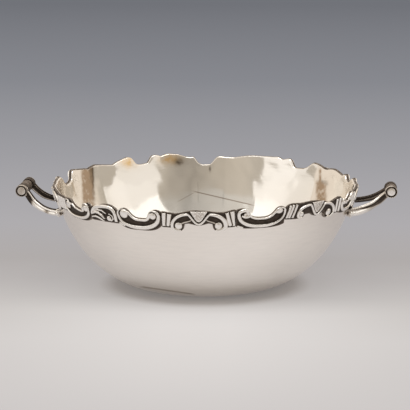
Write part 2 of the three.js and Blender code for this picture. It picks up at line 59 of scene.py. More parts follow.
def wall_radius(z):
    """The outside of the wall at height z."""
    def fullness(t):
        return (1 - (1 - rim_rake * t) ** floor_fullness) ** (1 / side_fullness)

    t = np.maximum(np.asarray(z, float) / bowl_height, 0)
    return foot_radius + (rim_radius - foot_radius) * fullness(t) / fullness(1.0)


# The border's drawing
# Eighteen castings go round the rim: open scrolls, leaves and cartouches. Each is drawn flat
# first, as its top line, its plate and its mouldings, because the rim is sawn to the top lines.

casting_height = 10.6
seat_gap = 0.3
volute_radius = 4.2
edge_step = 0.15
end_margin = 0.25
top_margin = 0.3
ball_gap = 0.5
# the plate runs this far below the lowest moulding; dark like the low plate, it is a painted shadow line with
# tarnish on the wall
shadow_margin = 0.5
broad = 2.3
thin = 1.3
bar_pitch = 3.3


def peak(values, place, wide, power=2):
    """1 at the place, fading to nothing over its width; a higher power has a flatter top."""
    return np.exp(-((values - place) / wide) ** power)


def oval(centre, size, start, end, steps, fullness=1.0):
    angle = np.radians(np.linspace(start, end, steps + 1))
    x, y = np.cos(angle), np.sin(angle)
    s = centre[0] + size[0] * np.sign(x) * np.abs(x) ** fullness
    z = centre[1] + size[1] * np.sign(y) * np.abs(y) ** fullness
    return np.stack([s, z], axis=1)


def line_through(half, points):
    """The line through (share of the half length, height) points."""
    shares, heights = np.array(points).T
    return lambda s: np.interp(s / half, shares, heights)


def scroll(half, points, crest, belly, ball=(1.75, 1.75), tall=(1.0, 1.0), hub=None, level=None,
           coil=(205, 205), band=(2.4, 2.4), width=(2.5, 2.5), lip_width=thin, wedges=(-1,)):
    """An open C on its back: balls in its volutes, and a dark channel under a thin lip.

    The pairs are for its left and right end: the height of its crest; the ball's radius and how
    tall it is for that; the hub's place from the end and its level; the degrees that the band
    coils round the ball; and the band's width there and where it falls to the middle.
    """
    top = line_through(half, points)
    volute = min(volute_radius, half * 0.44)
    hub = hub or (volute, volute)
    level = level or [high - volute for high in crest]
    low = -casting_height - belly

    def bottom(s):
        return low - shadow_margin + (belly + 0.6) * np.abs(s / half) ** 4

    runs, balls = [], []
    mean_width = sum(width) / 2
    for i, side in enumerate((-1, 1)):
        middle = half - hub[i]
        clear = ball[i] + ball_gap
        far = np.array([hub[i] - end_margin, crest[i] - top_margin - level[i]])
        ring = np.clip(far - (clear, clear * tall[i]), 0.5, band[i])
        fall = []
        for angle in np.linspace(coil[i], 0, 26):
            turn = np.array([math.cos(math.radians(angle)), math.sin(math.radians(angle))])
            inwards = max(angle - 180, 0) / 220
            s, z = (far - ring / 2) * (1 - 0.62 * inwards) * turn
            taper = 0.35 + 0.65 * min((coil[i] - angle) / 60, 1)
            fall.append((middle + s, level[i] + z, (ring * turn**2).sum() * taper * (1 - 0.3 * inwards)))
        for angle in np.linspace(0, 90, 15)[1:]:
            along = math.radians(angle)
            wide = width[i] + (mean_width - width[i]) * math.sin(along) ** 3
            swell = ring[0] + (wide - ring[0]) * math.sin(along) ** 0.5
            fall.append(((half - end_margin - swell / 2) * math.cos(along) ** 0.85,
                         level[i] + (low - level[i] + swell / 2) * math.sin(along) ** 0.85, swell))
        runs.append([(side * s, z, w) for s, z, w in fall])
        balls.append((side * middle, level[i], ball[i], tall[i]))
    sweep = runs[0] + runs[1][-2::-1]
    lip = []
    lip_start, lip_end = -half + hub[0] + 0.8, half - hub[1] - 0.8
    for s in np.linspace(lip_start, lip_end, 23):
        i = int(s > 0)
        to_ball = min(s - lip_start, lip_end - s)
        wide = lip_width + 0.7 * peak(to_ball, 0, 2.2)
        lip.append((s, min(float(top(s)) - 0.5 - wide / 2, level[i] + ball[i] * 0.4), wide))
    mouldings = [(sweep, 1.0), (lip, 0.86)]
    for side in wedges:
        mouldings.append(([(side * (half - 0.8), -casting_height + 0.7, 1.0),
                           (side * (half - 2.2), -casting_height - 0.15 * belly, 1.4),
                           (side * (half - 4.6), -casting_height - 0.5 * belly, 0.9)], 0.75))
    return top, bottom, mouldings, balls, None


def cartouche(half, points, crest, bars, reach=None, pins=None, ring_top=None, lift=(0.0, 0.0),
              drop_at=0.0, drop_rise=1.9, curl=(2.0, 2.0), links=(-1, 1)):
    """Two curls face a pebbled drop, with upright bars at both ends.

    The pairs are for its left and right end. Bars are a number of upright ones, or each one's
    (foot, head, their widths); reach is where the curls end and the bars begin. A pin is the
    (place, level, radius) of the ball that a curl ends on, and lift raises the lower edge.
    """
    def low(s):
        return -casting_height + lift[0] + (lift[1] - lift[0]) * (s / half + 1) / 2

    top = line_through(half, points)
    ring_top = ring_top or (crest - 2.6, crest - 2.6)
    if isinstance(bars[0], int):
        reach = [half - count * bar_pitch for count in bars]
        bars = [[(reach[i] + bar_pitch * (bar + 0.5),) * 2 + (2.7, 2.7) for bar in range(bars[i])]
                for i in (0, 1)]
    if pins is None:
        pins = [(share, low(side * share) + 1.1, 2.2)
                for side, share in ((-1, reach[0] * 0.7), (1, reach[1] * 0.7))]
    drop_half = min(reach) * 0.38
    drop_low = low(drop_at) + drop_rise

    def bottom(s):
        i = (s > 0).astype(int)
        away = np.abs(s)
        hub, pin, size = np.array(pins)[i].T
        far = np.array(reach)[i]
        step = [0 * away, drop_half * 0.4 + drop_at * (2 * i - 1), drop_half * 0.95 + 0 * away,
                hub - size - 0.8, hub, far, half + 1 + 0 * away]
        rises = [drop_rise - 1.1, drop_rise - 0.5, 2.6, 2.2, 0.2, -0.3, 0]
        out = rises[-1] + 0 * away
        for k in range(len(rises) - 2, -1, -1):
            share = np.clip((away - step[k]) / (step[k + 1] - step[k]), 0, 1)
            out = np.where(away < step[k + 1], rises[k] + (rises[k + 1] - rises[k]) * share, out)
        # the plate reaches 1.2 below each ball, a dark margin that is a painted shadow line with tarnish
        around = np.maximum((size + 1.2) ** 2 - (away - hub) ** 2, 0)
        return np.minimum(low(s) + out, np.where(around > 0, pin - np.sqrt(around), 99))

    share = np.linspace(-1, 1, 25)
    depth = (0.5 + 0.5 * np.cos(math.pi * share)) ** 0.7
    rim = np.where(share < 0, ring_top[0], ring_top[1])
    drop = np.stack([drop_at + drop_half * share, rim * (1 - depth) + drop_low * depth], axis=1)
    mouldings, balls = [([(s, z, 1.35) for s, z in drop], 0.95)], []
    for i, side in enumerate((-1, 1)):
        hub, pin, size = pins[i]
        outside = reach[i] - 0.1 - curl[i] / 2
        start = drop_half + side * drop_at
        over = oval((start, pin), (outside - start, ring_top[i] - pin), 90, 0, 14)
        under = oval((hub, pin), (outside - hub, size + 0.55), -10, -115, 8)
        path = [(s, z, 1.6 + (curl[i] - 1.6) * min(j / 9, 1) + 0.2 * math.sin(math.pi * j / 14))
                for j, (s, z) in enumerate(over)]
        path += [(s, z, curl[i] * (1 - 0.65 * j / 8)) for j, (s, z) in enumerate(under)]
        mouldings.append(([(side * s, z, w) for s, z, w in path], 1.0))
        balls.append((side * hub, pin, size, 1.0))
        meet = start - drop_half * 0.42
        if side in links:
            mouldings.append(([(side * (hub - size * 0.6), pin + size * 0.5, 1.3),
                               (side * (hub - size * 1.4), pin + size * 0.9, 1.1),
                               (side * (meet + 1.6), pin + size * 1.35, 0.9),
                               (side * meet, pin + size * 1.75, 0.6)], 0.58))
        for foot, head, foot_wide, head_wide in bars[i]:
            s0, s1 = side * foot, side * head
            high, deep = float(top(s1)) - 0.5, low(s0)
            mouldings.append(([(s1, high - 0.5, head_wide), (s1 * 0.85 + s0 * 0.15, high - 1.9, head_wide),
                               ((s0 + s1) / 2, (high + deep) / 2, (foot_wide + head_wide) / 2),
                               (s0 * 0.85 + s1 * 0.15, deep + 2.2, foot_wide),
                               (s0, deep + 0.9, foot_wide)], 0.92))
    field = np.stack([drop_at + (drop[:, 0] - drop_at) * 0.78, drop[:, 1] + 1.35], axis=1)
    field[0, 1] = field[-1, 1] = crest - 0.7
    return top, bottom, mouldings, balls, field


def leaf(half, points, crest, lift=0.0):
    """A leaf curls over to a small ball, with two petals under it.

    Its strokes go through points of (share of the half length, height over the foot, width).
    """
    low = -casting_height + lift
    summit = half * 0.28
    side = half - broad / 2 - edge_step
    foot = low + 2.8
    rise = crest - 0.5 - broad / 2 - foot

    def bottom(s):
        return low - 0.2 + 0 * s

    left = oval((summit, foot), (side + summit, rise), 172, 90, 14, 0.8)
    right = oval((summit, foot), (side - summit, rise), 90, 0, 12, 0.8)[1:]
    arch = [(s, z, 0.7 + 1.8 * min(i / 9, 1)) for i, (s, z) in enumerate(left)]
    arch += [(s, z, 2.4) for s, z in right] + [(side, low + 0.9, 1.9)]
    crease = [(-0.72, 6.1, 0.7), (-0.40, 7.2, 1.1), (-0.05, 7.0, 1.2), (0.22, 5.4, 0.8)]
    inner = [(-0.90, 3.9, 0.9), (-0.60, 5.3, 1.5), (-0.35, 5.2, 1.9), (-0.08, 3.6, 1.9), (0.08, 1.9, 1.0)]
    under = [(-0.94, 2.0, 0.9), (-0.62, 2.6, 1.4), (-0.36, 2.0, 1.5), (-0.12, 0.9, 1.2), (0.02, 0.5, 0.7)]
    curl = [(0.42, 5.6, 0.8), (0.66, 4.4, 0.9), (0.70, 2.6, 0.9), (0.52, 0.9, 0.7)]
    mouldings = [(arch, 1.0)]
    for stroke, rise in ((crease, 0.8), (inner, 0.92), (under, 0.85), (curl, 0.8)):
        mouldings.append(([(share * half, low + z, w) for share, z, w in stroke], rise))
    return line_through(half, points), bottom, mouldings, [(half * 0.40, low + 2.5, 1.75, 1.0)], None


border = [
    ("scroll_1", scroll, -61, -44, dict(
        crest=(-1.2, -0.7), belly=2.4, ball=(2.6, 2.2), width=(1.8, 2.2),
        points=[(-1, -1.3), (-0.45, -1.2), (-0.35, -2.4), (-0.24, -4), (-0.1, -5), (0.15, -5.9),
                (0.38, -6.3), (0.47, -5.7), (0.53, -4.5), (0.6, -2.8), (0.7, -1.5), (0.84, -0.8),
                (0.94, -0.7), (1, -1.2)])),
    ("leaf_1", leaf, -44, -30.8, dict(
        crest=0.3, lift=-0.6,
        points=[(-1, -2.4), (-0.7, -2.2), (-0.47, -1.3), (-0.17, -0.3), (0.14, 0.4), (0.44, 0.5),
                (0.67, 0), (0.89, -1.3), (1, -2.4)])),
    ("scroll_2", scroll, -30.8, -13.3, dict(
        crest=(-0.6, -0.2), belly=3.1, ball=(2.9, 2.3), hub=(4.8, 5.2),
        level=(-4.4, -4.4), coil=(150, 205), width=(2.2, 3.1), lip_width=1.7,
        points=[(-1, -2.7), (-0.92, -2), (-0.82, -1.1), (-0.7, -0.6), (-0.6, -0.7), (-0.51, -1.3),
                (-0.43, -2.4), (-0.36, -3.6), (-0.28, -4.7), (-0.17, -5.7), (-0.05, -6.1), (0.29, -6.1),
                (0.38, -5.6), (0.44, -4.6), (0.47, -3.4), (0.52, -1.9), (0.6, -0.8), (0.69, -0.3),
                (0.81, -0.2), (0.92, -0.6), (1, -1.1)])),
    ("cartouche_1", cartouche, -13.3, 13.6, dict(
        crest=0.2, reach=(17.3, 18.2), pins=[(12.3, -9.8, 2.4), (12.3, -9.6, 2.4)], curl=(2.0, 2.9),
        ring_top=(-2.4, -2.4), lift=(-0.4, 0.0), drop_at=0.2, drop_rise=2.2,
        bars=[[(18.8, 17.6, 2.1, 3.2), (21.4, 21.0, 2.2, 2.9)],
              [(19.6, 17.1, 2.3, 2.4), (21.85, 20.3, 1.5, 3.2)]],
        points=[(-1, -0.9), (-0.955, -0.8), (-0.83, -1.3), (-0.64, -1.8), (-0.53, -1.7), (-0.42, -1),
                (-0.27, -0.1), (-0.12, 0.3), (0.1, 0.2), (0.32, -0.3), (0.47, -0.8), (0.62, -0.9),
                (0.73, -0.6), (0.83, 0.1), (0.92, 0.5), (1, 0.5)])),
    ("scroll_3", scroll, 13.6, 32.7, dict(
        crest=(1.1, 1.0), belly=1.2, ball=(1.0, 2.6), tall=(0.8, 0.75), hub=(5.2, 4.75),
        level=(-2.7, -1.9), coil=(330, 205), band=(2.3, 2.0), width=(2.7, 1.7),
        points=[(-1, 0.4), (-0.91, 0.9), (-0.8, 1.1), (-0.7, 0.9), (-0.59, -0.1), (-0.53, -1.4),
                (-0.48, -2.7), (-0.38, -3.9), (-0.26, -4.6), (-0.07, -4.9), (0.14, -4.9), (0.3, -4.4),
                (0.42, -3.3), (0.51, -1.9), (0.59, -0.4), (0.66, 0.5), (0.77, 1), (0.84, 0.9),
                (0.93, 0.3), (1, -0.3)])),
    ("cartouche_2", cartouche, 32.7, 62.8, dict(
        crest=1.3, reach=(17.4, 18.0), ring_top=(-0.6, -1.5), links=(),
        pins=[(13.8, -5.9, 1.9), (11.2, -7.9, 2.4)],
        lift=(2.4, 0.5), drop_at=-0.6, drop_rise=1.5,
        bars=[[(20.4, 18.0, 1.6, 1.6), (22.9, 20.4, 1.6, 1.6), (24.9, 22.6, 1.6, 1.6)],
              [(19.8, 19.4, 1.9, 1.9), (23.6, 23.4, 2.2, 2.2)]],
        points=[(-1, 0.3), (-0.91, 1.5), (-0.81, 1.8), (-0.68, 1.6), (-0.6, 1.4), (-0.48, 1.5),
                (-0.22, 1.8), (-0.02, 1.3), (0.18, 0.4), (0.35, -0.7), (0.48, -1.3), (0.58, -0.9),
                (0.71, 0.1), (0.85, 0.6), (0.95, 0.2), (1, -0.5)])),
    ("scroll_4", scroll, 62.8, 75, dict(
        crest=(-0.5, 0.6), belly=0.5, ball=(1.4, 1.5), wedges=(),
        points=[(-1, -0.5), (-0.84, -1.8), (-0.56, -3.4), (-0.07, -3.9), (0.1, -3.4), (0.26, -1.9),
                (0.43, 0.1), (0.6, 0.6), (1, 0.1)])),
    ("cartouche_3", cartouche, 75, 97, dict(
        crest=1.0, bars=(1, 2),
        points=[(-1, 0.1), (-0.8, 0.3), (-0.55, 0), (-0.2, 0.9), (0.1, 1), (0.45, 0.2), (0.6, -0.3),
                (0.8, 0.1), (1, 0.3)])),
    ("scroll_5", scroll, 97, 112.5, dict(
        crest=(1.2, 0.8), belly=0.5,
        points=[(-1, 0.3), (-0.7, 1.2), (-0.55, 0.6), (-0.42, -1.2), (-0.25, -2.3), (0.2, -2.4),
                (0.4, -1.6), (0.5, 0), (0.62, 0.8), (0.85, 0.3), (1, -0.7)])),
    ("leaf_2", leaf, 112.5, 131.3, dict(
        crest=1.4,
        points=[(-1, -0.8), (-0.79, -0.1), (-0.36, 1.2), (-0.15, 1.4), (0.06, 1.1), (0.28, 0.3),
                (0.44, 0.2), (0.6, 0.7), (0.75, 1.5), (1, 2.3)])),
    ("scroll_6", scroll, 131.3, 149.3, dict(
        crest=(2.5, 2.8), belly=0.7,
        points=[(-1, 2.3), (-0.87, 2.5), (-0.76, 2.5), (-0.64, 1.4), (-0.42, -1), (-0.2, -2.4),
                (0.24, -2.8), (0.36, -2.2), (0.41, -1.2), (0.5, 1.2), (0.58, 2.4), (0.69, 2.8),
                (0.8, 2.5), (1, 1.7)])),
    ("cartouche_4", cartouche, 149.3, 174, dict(
        crest=2.7, bars=(2, 2),
        points=[(-1, 1.7), (-0.86, 3), (-0.78, 3.2), (-0.66, 2.9), (0.07, 2.8), (0.23, 2.6), (0.47, 1.9),
                (0.72, 1), (1, 1.1)])),
    ("scroll_7", scroll, 174, 189.8, dict(
        crest=(1.5, 1.3), belly=0.7,
        points=[(-1, 1.1), (-0.8, 1.5), (-0.66, 1.5), (-0.55, 1), (-0.43, -0.6), (-0.3, -2.8),
                (-0.2, -4), (0.2, -4.2), (0.36, -3.6), (0.47, -2.6), (0.6, 0.2), (0.68, 1.2),
                (0.84, 0.9), (1, 1.1)])),
    ("leaf_3", leaf, 189.8, 200.8, dict(
        crest=3.6,
        points=[(-1, 1.1), (-0.87, 1.4), (-0.6, 2.2), (-0.33, 3), (0.04, 3.4), (0.4, 3.7), (0.76, 3.1),
                (1, 2.2)])),
    ("scroll_8", scroll, 200.8, 217.8, dict(
        crest=(3.4, 3.4), belly=0.7,
        points=[(-1, 2.2), (-0.9, 2.9), (-0.74, 3.4), (-0.6, 3), (-0.5, 1.9), (-0.41, 0), (-0.33, -1.7),
                (0, -2.3), (0.22, -2.2), (0.33, -1.4), (0.41, 0.2), (0.5, 2.1), (0.62, 3.1), (0.73, 3.4),
                (1, 2.4)])),
    ("cartouche_5", cartouche, 217.8, 245, dict(
        crest=1.0, bars=(2, 2),
        points=[(-1, 2.4), (-0.73, 0.4), (-0.62, -0.6), (-0.36, 0.1), (0.08, 1.4), (0.3, 0.4),
                (0.41, -0.3), (0.52, 0.1), (1, 1.2)])),
    ("scroll_9", scroll, 245, 264, dict(
        crest=(1.6, 1.0), belly=1.1,
        points=[(-1, 1.2), (-0.76, 1.7), (-0.64, 1.2), (-0.56, -1), (-0.48, -4), (-0.22, -5.4),
                (0.2, -5.6), (0.4, -3), (0.55, 0), (0.75, 1), (1, 0.6)])),
    ("cartouche_6", cartouche, 264, 299, dict(
        crest=0.4, bars=(3, 4),
        points=[(-1, 0.5), (-0.85, 0.2), (-0.65, -0.9), (-0.4, -0.3), (-0.1, 0.4), (0.15, 0.4),
                (0.4, -0.3), (0.6, -1.2), (0.8, -1.1), (1, -1.3)])),
]

castings = []
for name, kind, start, end, shape in border:
    half = (math.radians(end - start) * rim_radius - seat_gap) / 2
    castings.append((name, math.radians((start + end) / 2), half, kind(half, **shape)))

# The bowl
# Raised from one sheet about a millimetre thick, with faint planishing facets inside and a
# dent near the bottom. Its rim is sawn to the castings' top lines. Satin outside, bright inside.

wall_thickness = 1.0
rim_columns = 1100
sawn_depth = 15.0
inside_end = 1.2
rim_under_castings = 0.5
left_bulge = 0.7
fold_depth = 0.9
lip_rounding = [(0.4, 0.03), (0.75, -0.12), (0.95, -0.35), (1.05, -0.65)]

# the rim's line: the castings' top lines, eased, and set out in equal steps
top_line = []
for name, middle, half, (top, bottom, mouldings, balls, field) in castings:
    s = np.linspace(-half, half, int(half * 12))
    top_line.append(np.stack([middle + s / rim_radius, top(s)], axis=1))
top_line = np.concatenate(top_line)
around = np.arange(-4, 5)
eased = sum(np.roll(top_line[:, 1], shift) for shift in around) / len(around)
top_line[:, 1] = np.minimum(eased, top_line[:, 1] + 0.3)
top_line = np.concatenate([top_line, [top_line[0] + (2 * math.pi, 0)]])
steps = np.hypot(np.diff(top_line[:, 0]) * rim_radius, np.diff(top_line[:, 1]))
run = np.concatenate([[0], np.cumsum(steps)])
places = np.linspace(0, run[-1], rim_columns + 1)[:-1]
column_angle = np.interp(places, run, top_line[:, 0])
column_top = np.interp(places, run, top_line[:, 1]) - 0.12
# at the sides the rim sits lower, so the castings' dark plate edges show above it as a line of painted shade
from_back = np.abs(np.degrees(column_angle) - 182.5)
column_top -= rim_under_castings * np.clip((from_back - 38) / 14, 0, 1)

# the profile: the outer line, the rounded lip, and the inner line square to the outer one
wall_rows = np.concatenate([np.linspace(0, 1, 26)[1:] ** 2 * (bowl_height - sawn_depth),
                            bowl_height - sawn_depth + np.linspace(0, 1, 12)[1:] * sawn_depth])
step = 0.01
slope = (wall_radius(wall_rows + step) - wall_radius(wall_rows)) / step
lean_in = 1 / np.hypot(1, slope)
outside = [(r, 0.0) for r in (0.0, 8, 15, 21, 26, 29.5, foot_radius)]
outside += list(zip(wall_radius(wall_rows), wall_rows))
inner_radius = wall_radius(wall_rows) - lean_in * wall_thickness
inner_rows = wall_rows + slope * lean_in * wall_thickness
inside = [(r, z) for r, z in zip(inner_radius, inner_rows) if z < bowl_height - inside_end]
lip_edge = float(wall_radius(bowl_height))
lip = [(lip_edge - inwards, bowl_height + rise) for inwards, rise in lip_rounding]
profile = outside + lip + inside[::-1]
profile += [(r, wall_thickness) for r in (foot_radius - 0.6, 26, 21, 15, 8, 0.0)]


def spun(profile, steps, axis):
    """Spins a profile of (radius, place along the axis) points round the Z or the Y axis."""
    places = [(0, -r, along) if axis == "Z" else (r, along, 0) for r, along in profile]
    bpy.ops.object.select_all(action="DESELECT")
    bpy.ops.mesh.primitive_plane_add(size=2, location=(0, 0, 0))
    piece = bpy.context.object
    bpy.ops.object.mode_set(mode="EDIT")
    bpy.ops.mesh.select_all(action="SELECT")
    bpy.ops.mesh.merge(type="CENTER")
    bpy.ops.transform.translate(value=places[0])
    for here, there in zip(places, places[1:]):
        step = [b - a for a, b in zip(here, there)]
        bpy.ops.mesh.extrude_region_move(TRANSFORM_OT_translate={"value": step})
    bpy.ops.mesh.select_all(action="SELECT")
    bpy.ops.mesh.spin(steps=steps, angle=2 * math.pi, center=(0, 0, 0),
                      axis=(0, 0, 1) if axis == "Z" else (0, 1, 0))
    bpy.ops.mesh.select_all(action="SELECT")
    bpy.ops.mesh.remove_doubles(threshold=0.001)
    bpy.ops.mesh.normals_make_consistent(inside=False)
    bpy.ops.object.mode_set(mode="OBJECT")
    return piece


def points_of(mesh):
    points = np.empty(len(mesh.vertices) * 3)
    mesh.vertices.foreach_get("co", points)
    return points.reshape(-1, 3)


def move_points(mesh, points):
    mesh.vertices.foreach_set("co", np.asarray(points, float).ravel())
    mesh.update()


bowl = spun(profile, rim_columns, "Z")
bowl.name = "bowl"
points = points_of(bowl.data)
radius = np.hypot(points[:, 0], points[:, 1])
angle = np.arctan2(points[:, 0], -points[:, 1])
column = np.round(angle / (2 * math.pi) * rim_columns).astype(int) % rim_columns
angle = column_angle[column]
height = points[:, 2]
inner = (radius < wall_radius(height) - wall_thickness / 2) & (height > wall_thickness / 2)
share = np.clip((height - (bowl_height - sawn_depth)) / sawn_depth, 0, 1)
sawn = height + share**1.5 * column_top[column]
radius = radius + wall_radius(sawn) - wall_radius(height)

# planishing: shallow hammer facets by length, depth and turn, and upright creases between them
# by bearing, width, depth and slant
facet = np.zeros(len(points))
for size, depth, turn in ((27.0, 0.11, 0.4), (15.0, 0.06, 1.3), (47.0, 0.15, 2.2)):
    u, v = angle * rim_radius / size * 2 * math.pi, height / size * 2 * math.pi
    facet += depth * np.sin(u + 1.7 * np.sin(0.31 * v + turn)) * np.cos(v + 1.3 * np.sin(0.23 * u + turn))
for place, wide, depth, slant in (
        (163.5, 1.6, 0.05, 0.10), (152.0, 1.2, 0.04, -0.06), (141.0, 1.8, 0.06, 0.12),
        (198.0, 1.8, 0.05, -0.05), (211.0, 2.2, 0.07, 0.10), (231.0, 1.2, 0.06, 0.0),
        (131.0, 1.3, 0.07, 0.05), (125.0, 1.0, 0.07, 0.02), (174.5, 1.4, 0.05, 0.05)):
    across = np.degrees(angle) % 360 - place + slant * (bowl_height - height)
    facet += depth * peak(across, 0, wide) * np.clip((height - 24) / 16, 0, 1)


def between(values, low, high, soft):
    """1 from low to high, with soft ends."""
    return np.clip((values - low) / soft, 0, 1) * np.clip((high - values) / soft, 0, 1)


# a slanting crease inside at the back, the metal under it pressed in, and a short edge beside it
crease_plane = ((0.2204, 0.1841, 0.9579), 56.739)
fold_plane = ((0.13, 0.2307, 0.9643), -8.174)
side_edge_plane = ((-0.4919, 0.1321, 0.8606), 55.166)
sideways = radius * np.sin(angle)
at_back = np.cos(angle) < 0
crease_zone = between(sideways, -13, 31, 4) * inner * at_back
fold_zone = between(sideways, -40, -3, 4) * ~inner * ~at_back
side_edge_zone = between(sideways, -23, -10, 3) * inner * at_back
place = np.stack([sideways, -radius * np.cos(angle), height], axis=1)
below = crease_plane[1] - place @ np.array(crease_plane[0])
facet -= 0.35 * crease_zone * np.where(below > 0, peak(below, 0, 6.0), 0)
facet *= np.clip(height / 6, 0, 1) * np.clip(radius / foot_radius, 0, 1)
radius = radius + facet * np.where(inner, 1.0, 0.3)

# a dent low on the front, left of the middle: a long shallow fold, pressed into the outside
along = np.clip((np.degrees(np.where(angle > math.pi, angle - 2 * math.pi, angle)) + 47) / 42, 0, 1)
fold = height - (7.2 - 3.6 * along)
pressed = np.sin(math.pi * along) * peak(fold, 0, np.where(fold > 0, 3.0, 0.9))
radius = radius - fold_depth * np.where(inner, 0.0, pressed)
points[:, 0] = radius * np.sin(angle)
points[:, 1] = -radius * np.cos(angle)
points[:, 2] = sawn
# the whole left side bulges a little
swell = np.sin(np.clip(height / bowl_height, 0, 1) * math.pi) * np.clip(-points[:, 0] / rim_radius, 0, 1)
points[:, 0] -= left_bulge * swell
move_points(bowl.data, points)


def select_only(pieces):
    bpy.ops.object.select_all(action="DESELECT")
    for piece in pieces:
        piece.select_set(True)
    bpy.context.view_layer.objects.active = pieces[0]


def add_attribute(mesh, name, values):
    layer = mesh.attributes.new(name, "FLOAT", "POINT")
    layer.data.foreach_set("value", np.asarray(values, np.float32))


def to_frame(piece):
    """Scales the modelled millimetres to the frame's metres, and shades the mesh smooth."""
    move_points(piece.data, points_of(piece.data) * 0.001)
    piece.data.polygons.foreach_set("use_smooth", [True] * len(piece.data.polygons))


# marks on the inside: brown stains and dark marks near the rim; two dark streaks and two dark
# patches at the sides that are painted reflections; and where the creases' lines of painted shade run
bearing = np.degrees(angle) % 360
from_rim = bowl_height - height
stain = peak(from_rim, 0, 3.2) * (peak(bearing, 215.5, 3.5) + peak(bearing, 196.8, 4.2))
drift = sideways - 0.12 * from_rim
# dark marks near the rim
dark_marks_and_reflections = 0.85 * peak(bearing, 193.3, 2.0) * peak(from_rim, 2, 2.4)
# painted reflections: a thin dark band down from the rim on the left side, and a small dark patch high on the
# right side
dark_marks_and_reflections += 2.2 * peak(drift, -79.7, 1.2) * np.clip(1.3 - from_rim / 22, 0, 1)
dark_marks_and_reflections += 0.8 * peak(sideways, 77, 3.2, 4) * peak(height, 58, 1.2)
# a small dark spot at the back, below the rim
dark_marks_and_reflections += peak(bearing, 180.4, 0.4) * peak(from_rim, 7, 1.6)
# painted reflections: dark upright streaks on the right side and on the left
reflection_streak = peak(sideways, 75.8, 3.4, 6) * between(height, 38, 58.5, 2)
reflection_streak += peak(sideways, 75.2, 0.8) * between(height, 56, 67, 2)
reflection_streak += 1.05 * peak(drift, -82.0, 3.2, 6) * between(height, 36, 69, 3)
for mark, strength in (
        ("inside", inner), ("stain", stain * inner), ("dark_marks_and_reflections", dark_marks_and_reflections * inner * at_back),
        ("reflection_streak", reflection_streak * inner * at_back), ("crease", crease_zone), ("fold", fold_zone),
        ("side_edge", side_edge_zone)):
    add_attribute(bowl.data, mark, strength)
to_frame(bowl)
select_only([bowl])
bpy.ops.object.shade_smooth_by_angle(angle=math.radians(40))


def node_tree(material):
    material.use_nodes = True
    tree = material.node_tree
    tree.nodes.clear()
    output = tree.nodes.new("ShaderNodeOutputMaterial")
    shader = tree.nodes.new("ShaderNodeBsdfPrincipled")
    tree.links.new(shader.outputs["BSDF"], output.inputs["Surface"])
    return tree, shader


def feed(tree, socket, value):
    """Links a socket to another one, or sets it to a plain value."""
    if isinstance(value, bpy.types.NodeSocket):
        tree.links.new(value, socket)
    else:
        socket.default_value = value


def fill(tree, node, **inputs):
    for name, value in inputs.items():
        feed(tree, node.inputs[name.replace("_", " ")], value)


def new_node(tree, kind, result, **inputs):
    """Makes a node, fills its inputs and returns one of its outputs."""
    node = tree.nodes.new("ShaderNode" + kind)
    fill(tree, node, **inputs)
    return node.outputs[result]


def attribute(tree, name):
    value = new_node(tree, "Attribute", "Fac")
    value.node.attribute_name = name
    return value


def maths(tree, operation, *values):
    result = new_node(tree, "Math", "Value")
    result.node.operation = operation
    for socket, value in zip(result.node.inputs, values):
        feed(tree, socket, value)
    return result


def span_of(tree, value, start, end, low=0.0, high=1.0):
    """Takes a value between start and end to one between low and high."""
    return new_node(tree, "MapRange", "Result", Value=value, From_Min=start, From_Max=end,
                    To_Min=low, To_Max=high)


def placed_noise(tree, scale, size, detail=3.0, roughness=0.55):
    """Noise on the piece's own coordinates, stretched by scale, size per metre."""
    where = new_node(tree, "TexCoord", "Object")
    stretched = new_node(tree, "Mapping", "Vector", Vector=where, Scale=scale)
    return new_node(tree, "TexNoise", "Fac", Vector=stretched, Scale=size, Detail=detail,
                    Roughness=roughness)


def ramp(tree, factor, stops):
    """Tones along a factor, from stops of (place, a colour or a grey)."""
    tones = new_node(tree, "ValToRGB", "Color", Fac=factor)
    elements = tones.node.color_ramp.elements
    while len(elements) < len(stops):
        elements.new(0.5)
    for element, (place, colour) in zip(elements, stops):
        element.position = place
        element.color = (*colour, 1) if isinstance(colour, tuple) else (colour, colour, colour, 1)
    return tones


def mix(tree, factor, a, b, kind="RGBA", blend="MIX"):
    node = tree.nodes.new("ShaderNodeMix")
    node.data_type = kind
    node.blend_type = blend
    first, second, result = {"FLOAT": (2, 3, 0), "RGBA": (6, 7, 2)}[kind]
    for socket, value in ((0, factor), (first, a), (second, b)):
        feed(tree, node.inputs[socket], value)
    return node.outputs[result]


# silver, satin outside and bright inside, with rub marks, then its marks and its dark fine lines
raised_silver = bpy.data.materials.new("raised_silver")
tree, shader = node_tree(raised_silver)
is_inside = attribute(tree, "inside")
tarnish_and_shade = placed_noise(tree, (1, 1, 1.6), 14.0, 2.0)
outer_tone = ramp(tree, tarnish_and_shade, [(0.30, (0.895, 0.85, 0.80)), (0.70, (0.95, 0.91, 0.865))])
inner_tone = ramp(tree, tarnish_and_shade, [(0.30, (0.88, 0.835, 0.77)), (0.70, (0.93, 0.90, 0.86))])
rubbed = placed_noise(tree, (110, 110, 800), 1.0, 3.0, 0.5)
streaks = ramp(tree, rubbed, [(0.30, 0.965), (0.62, 1.0)])
outer_tone = mix(tree, 1.0, outer_tone, streaks, blend="MULTIPLY")
tone = mix(tree, is_inside, outer_tone, inner_tone)
blotches = placed_noise(tree, (1, 1, 1), 260.0, 3.0)
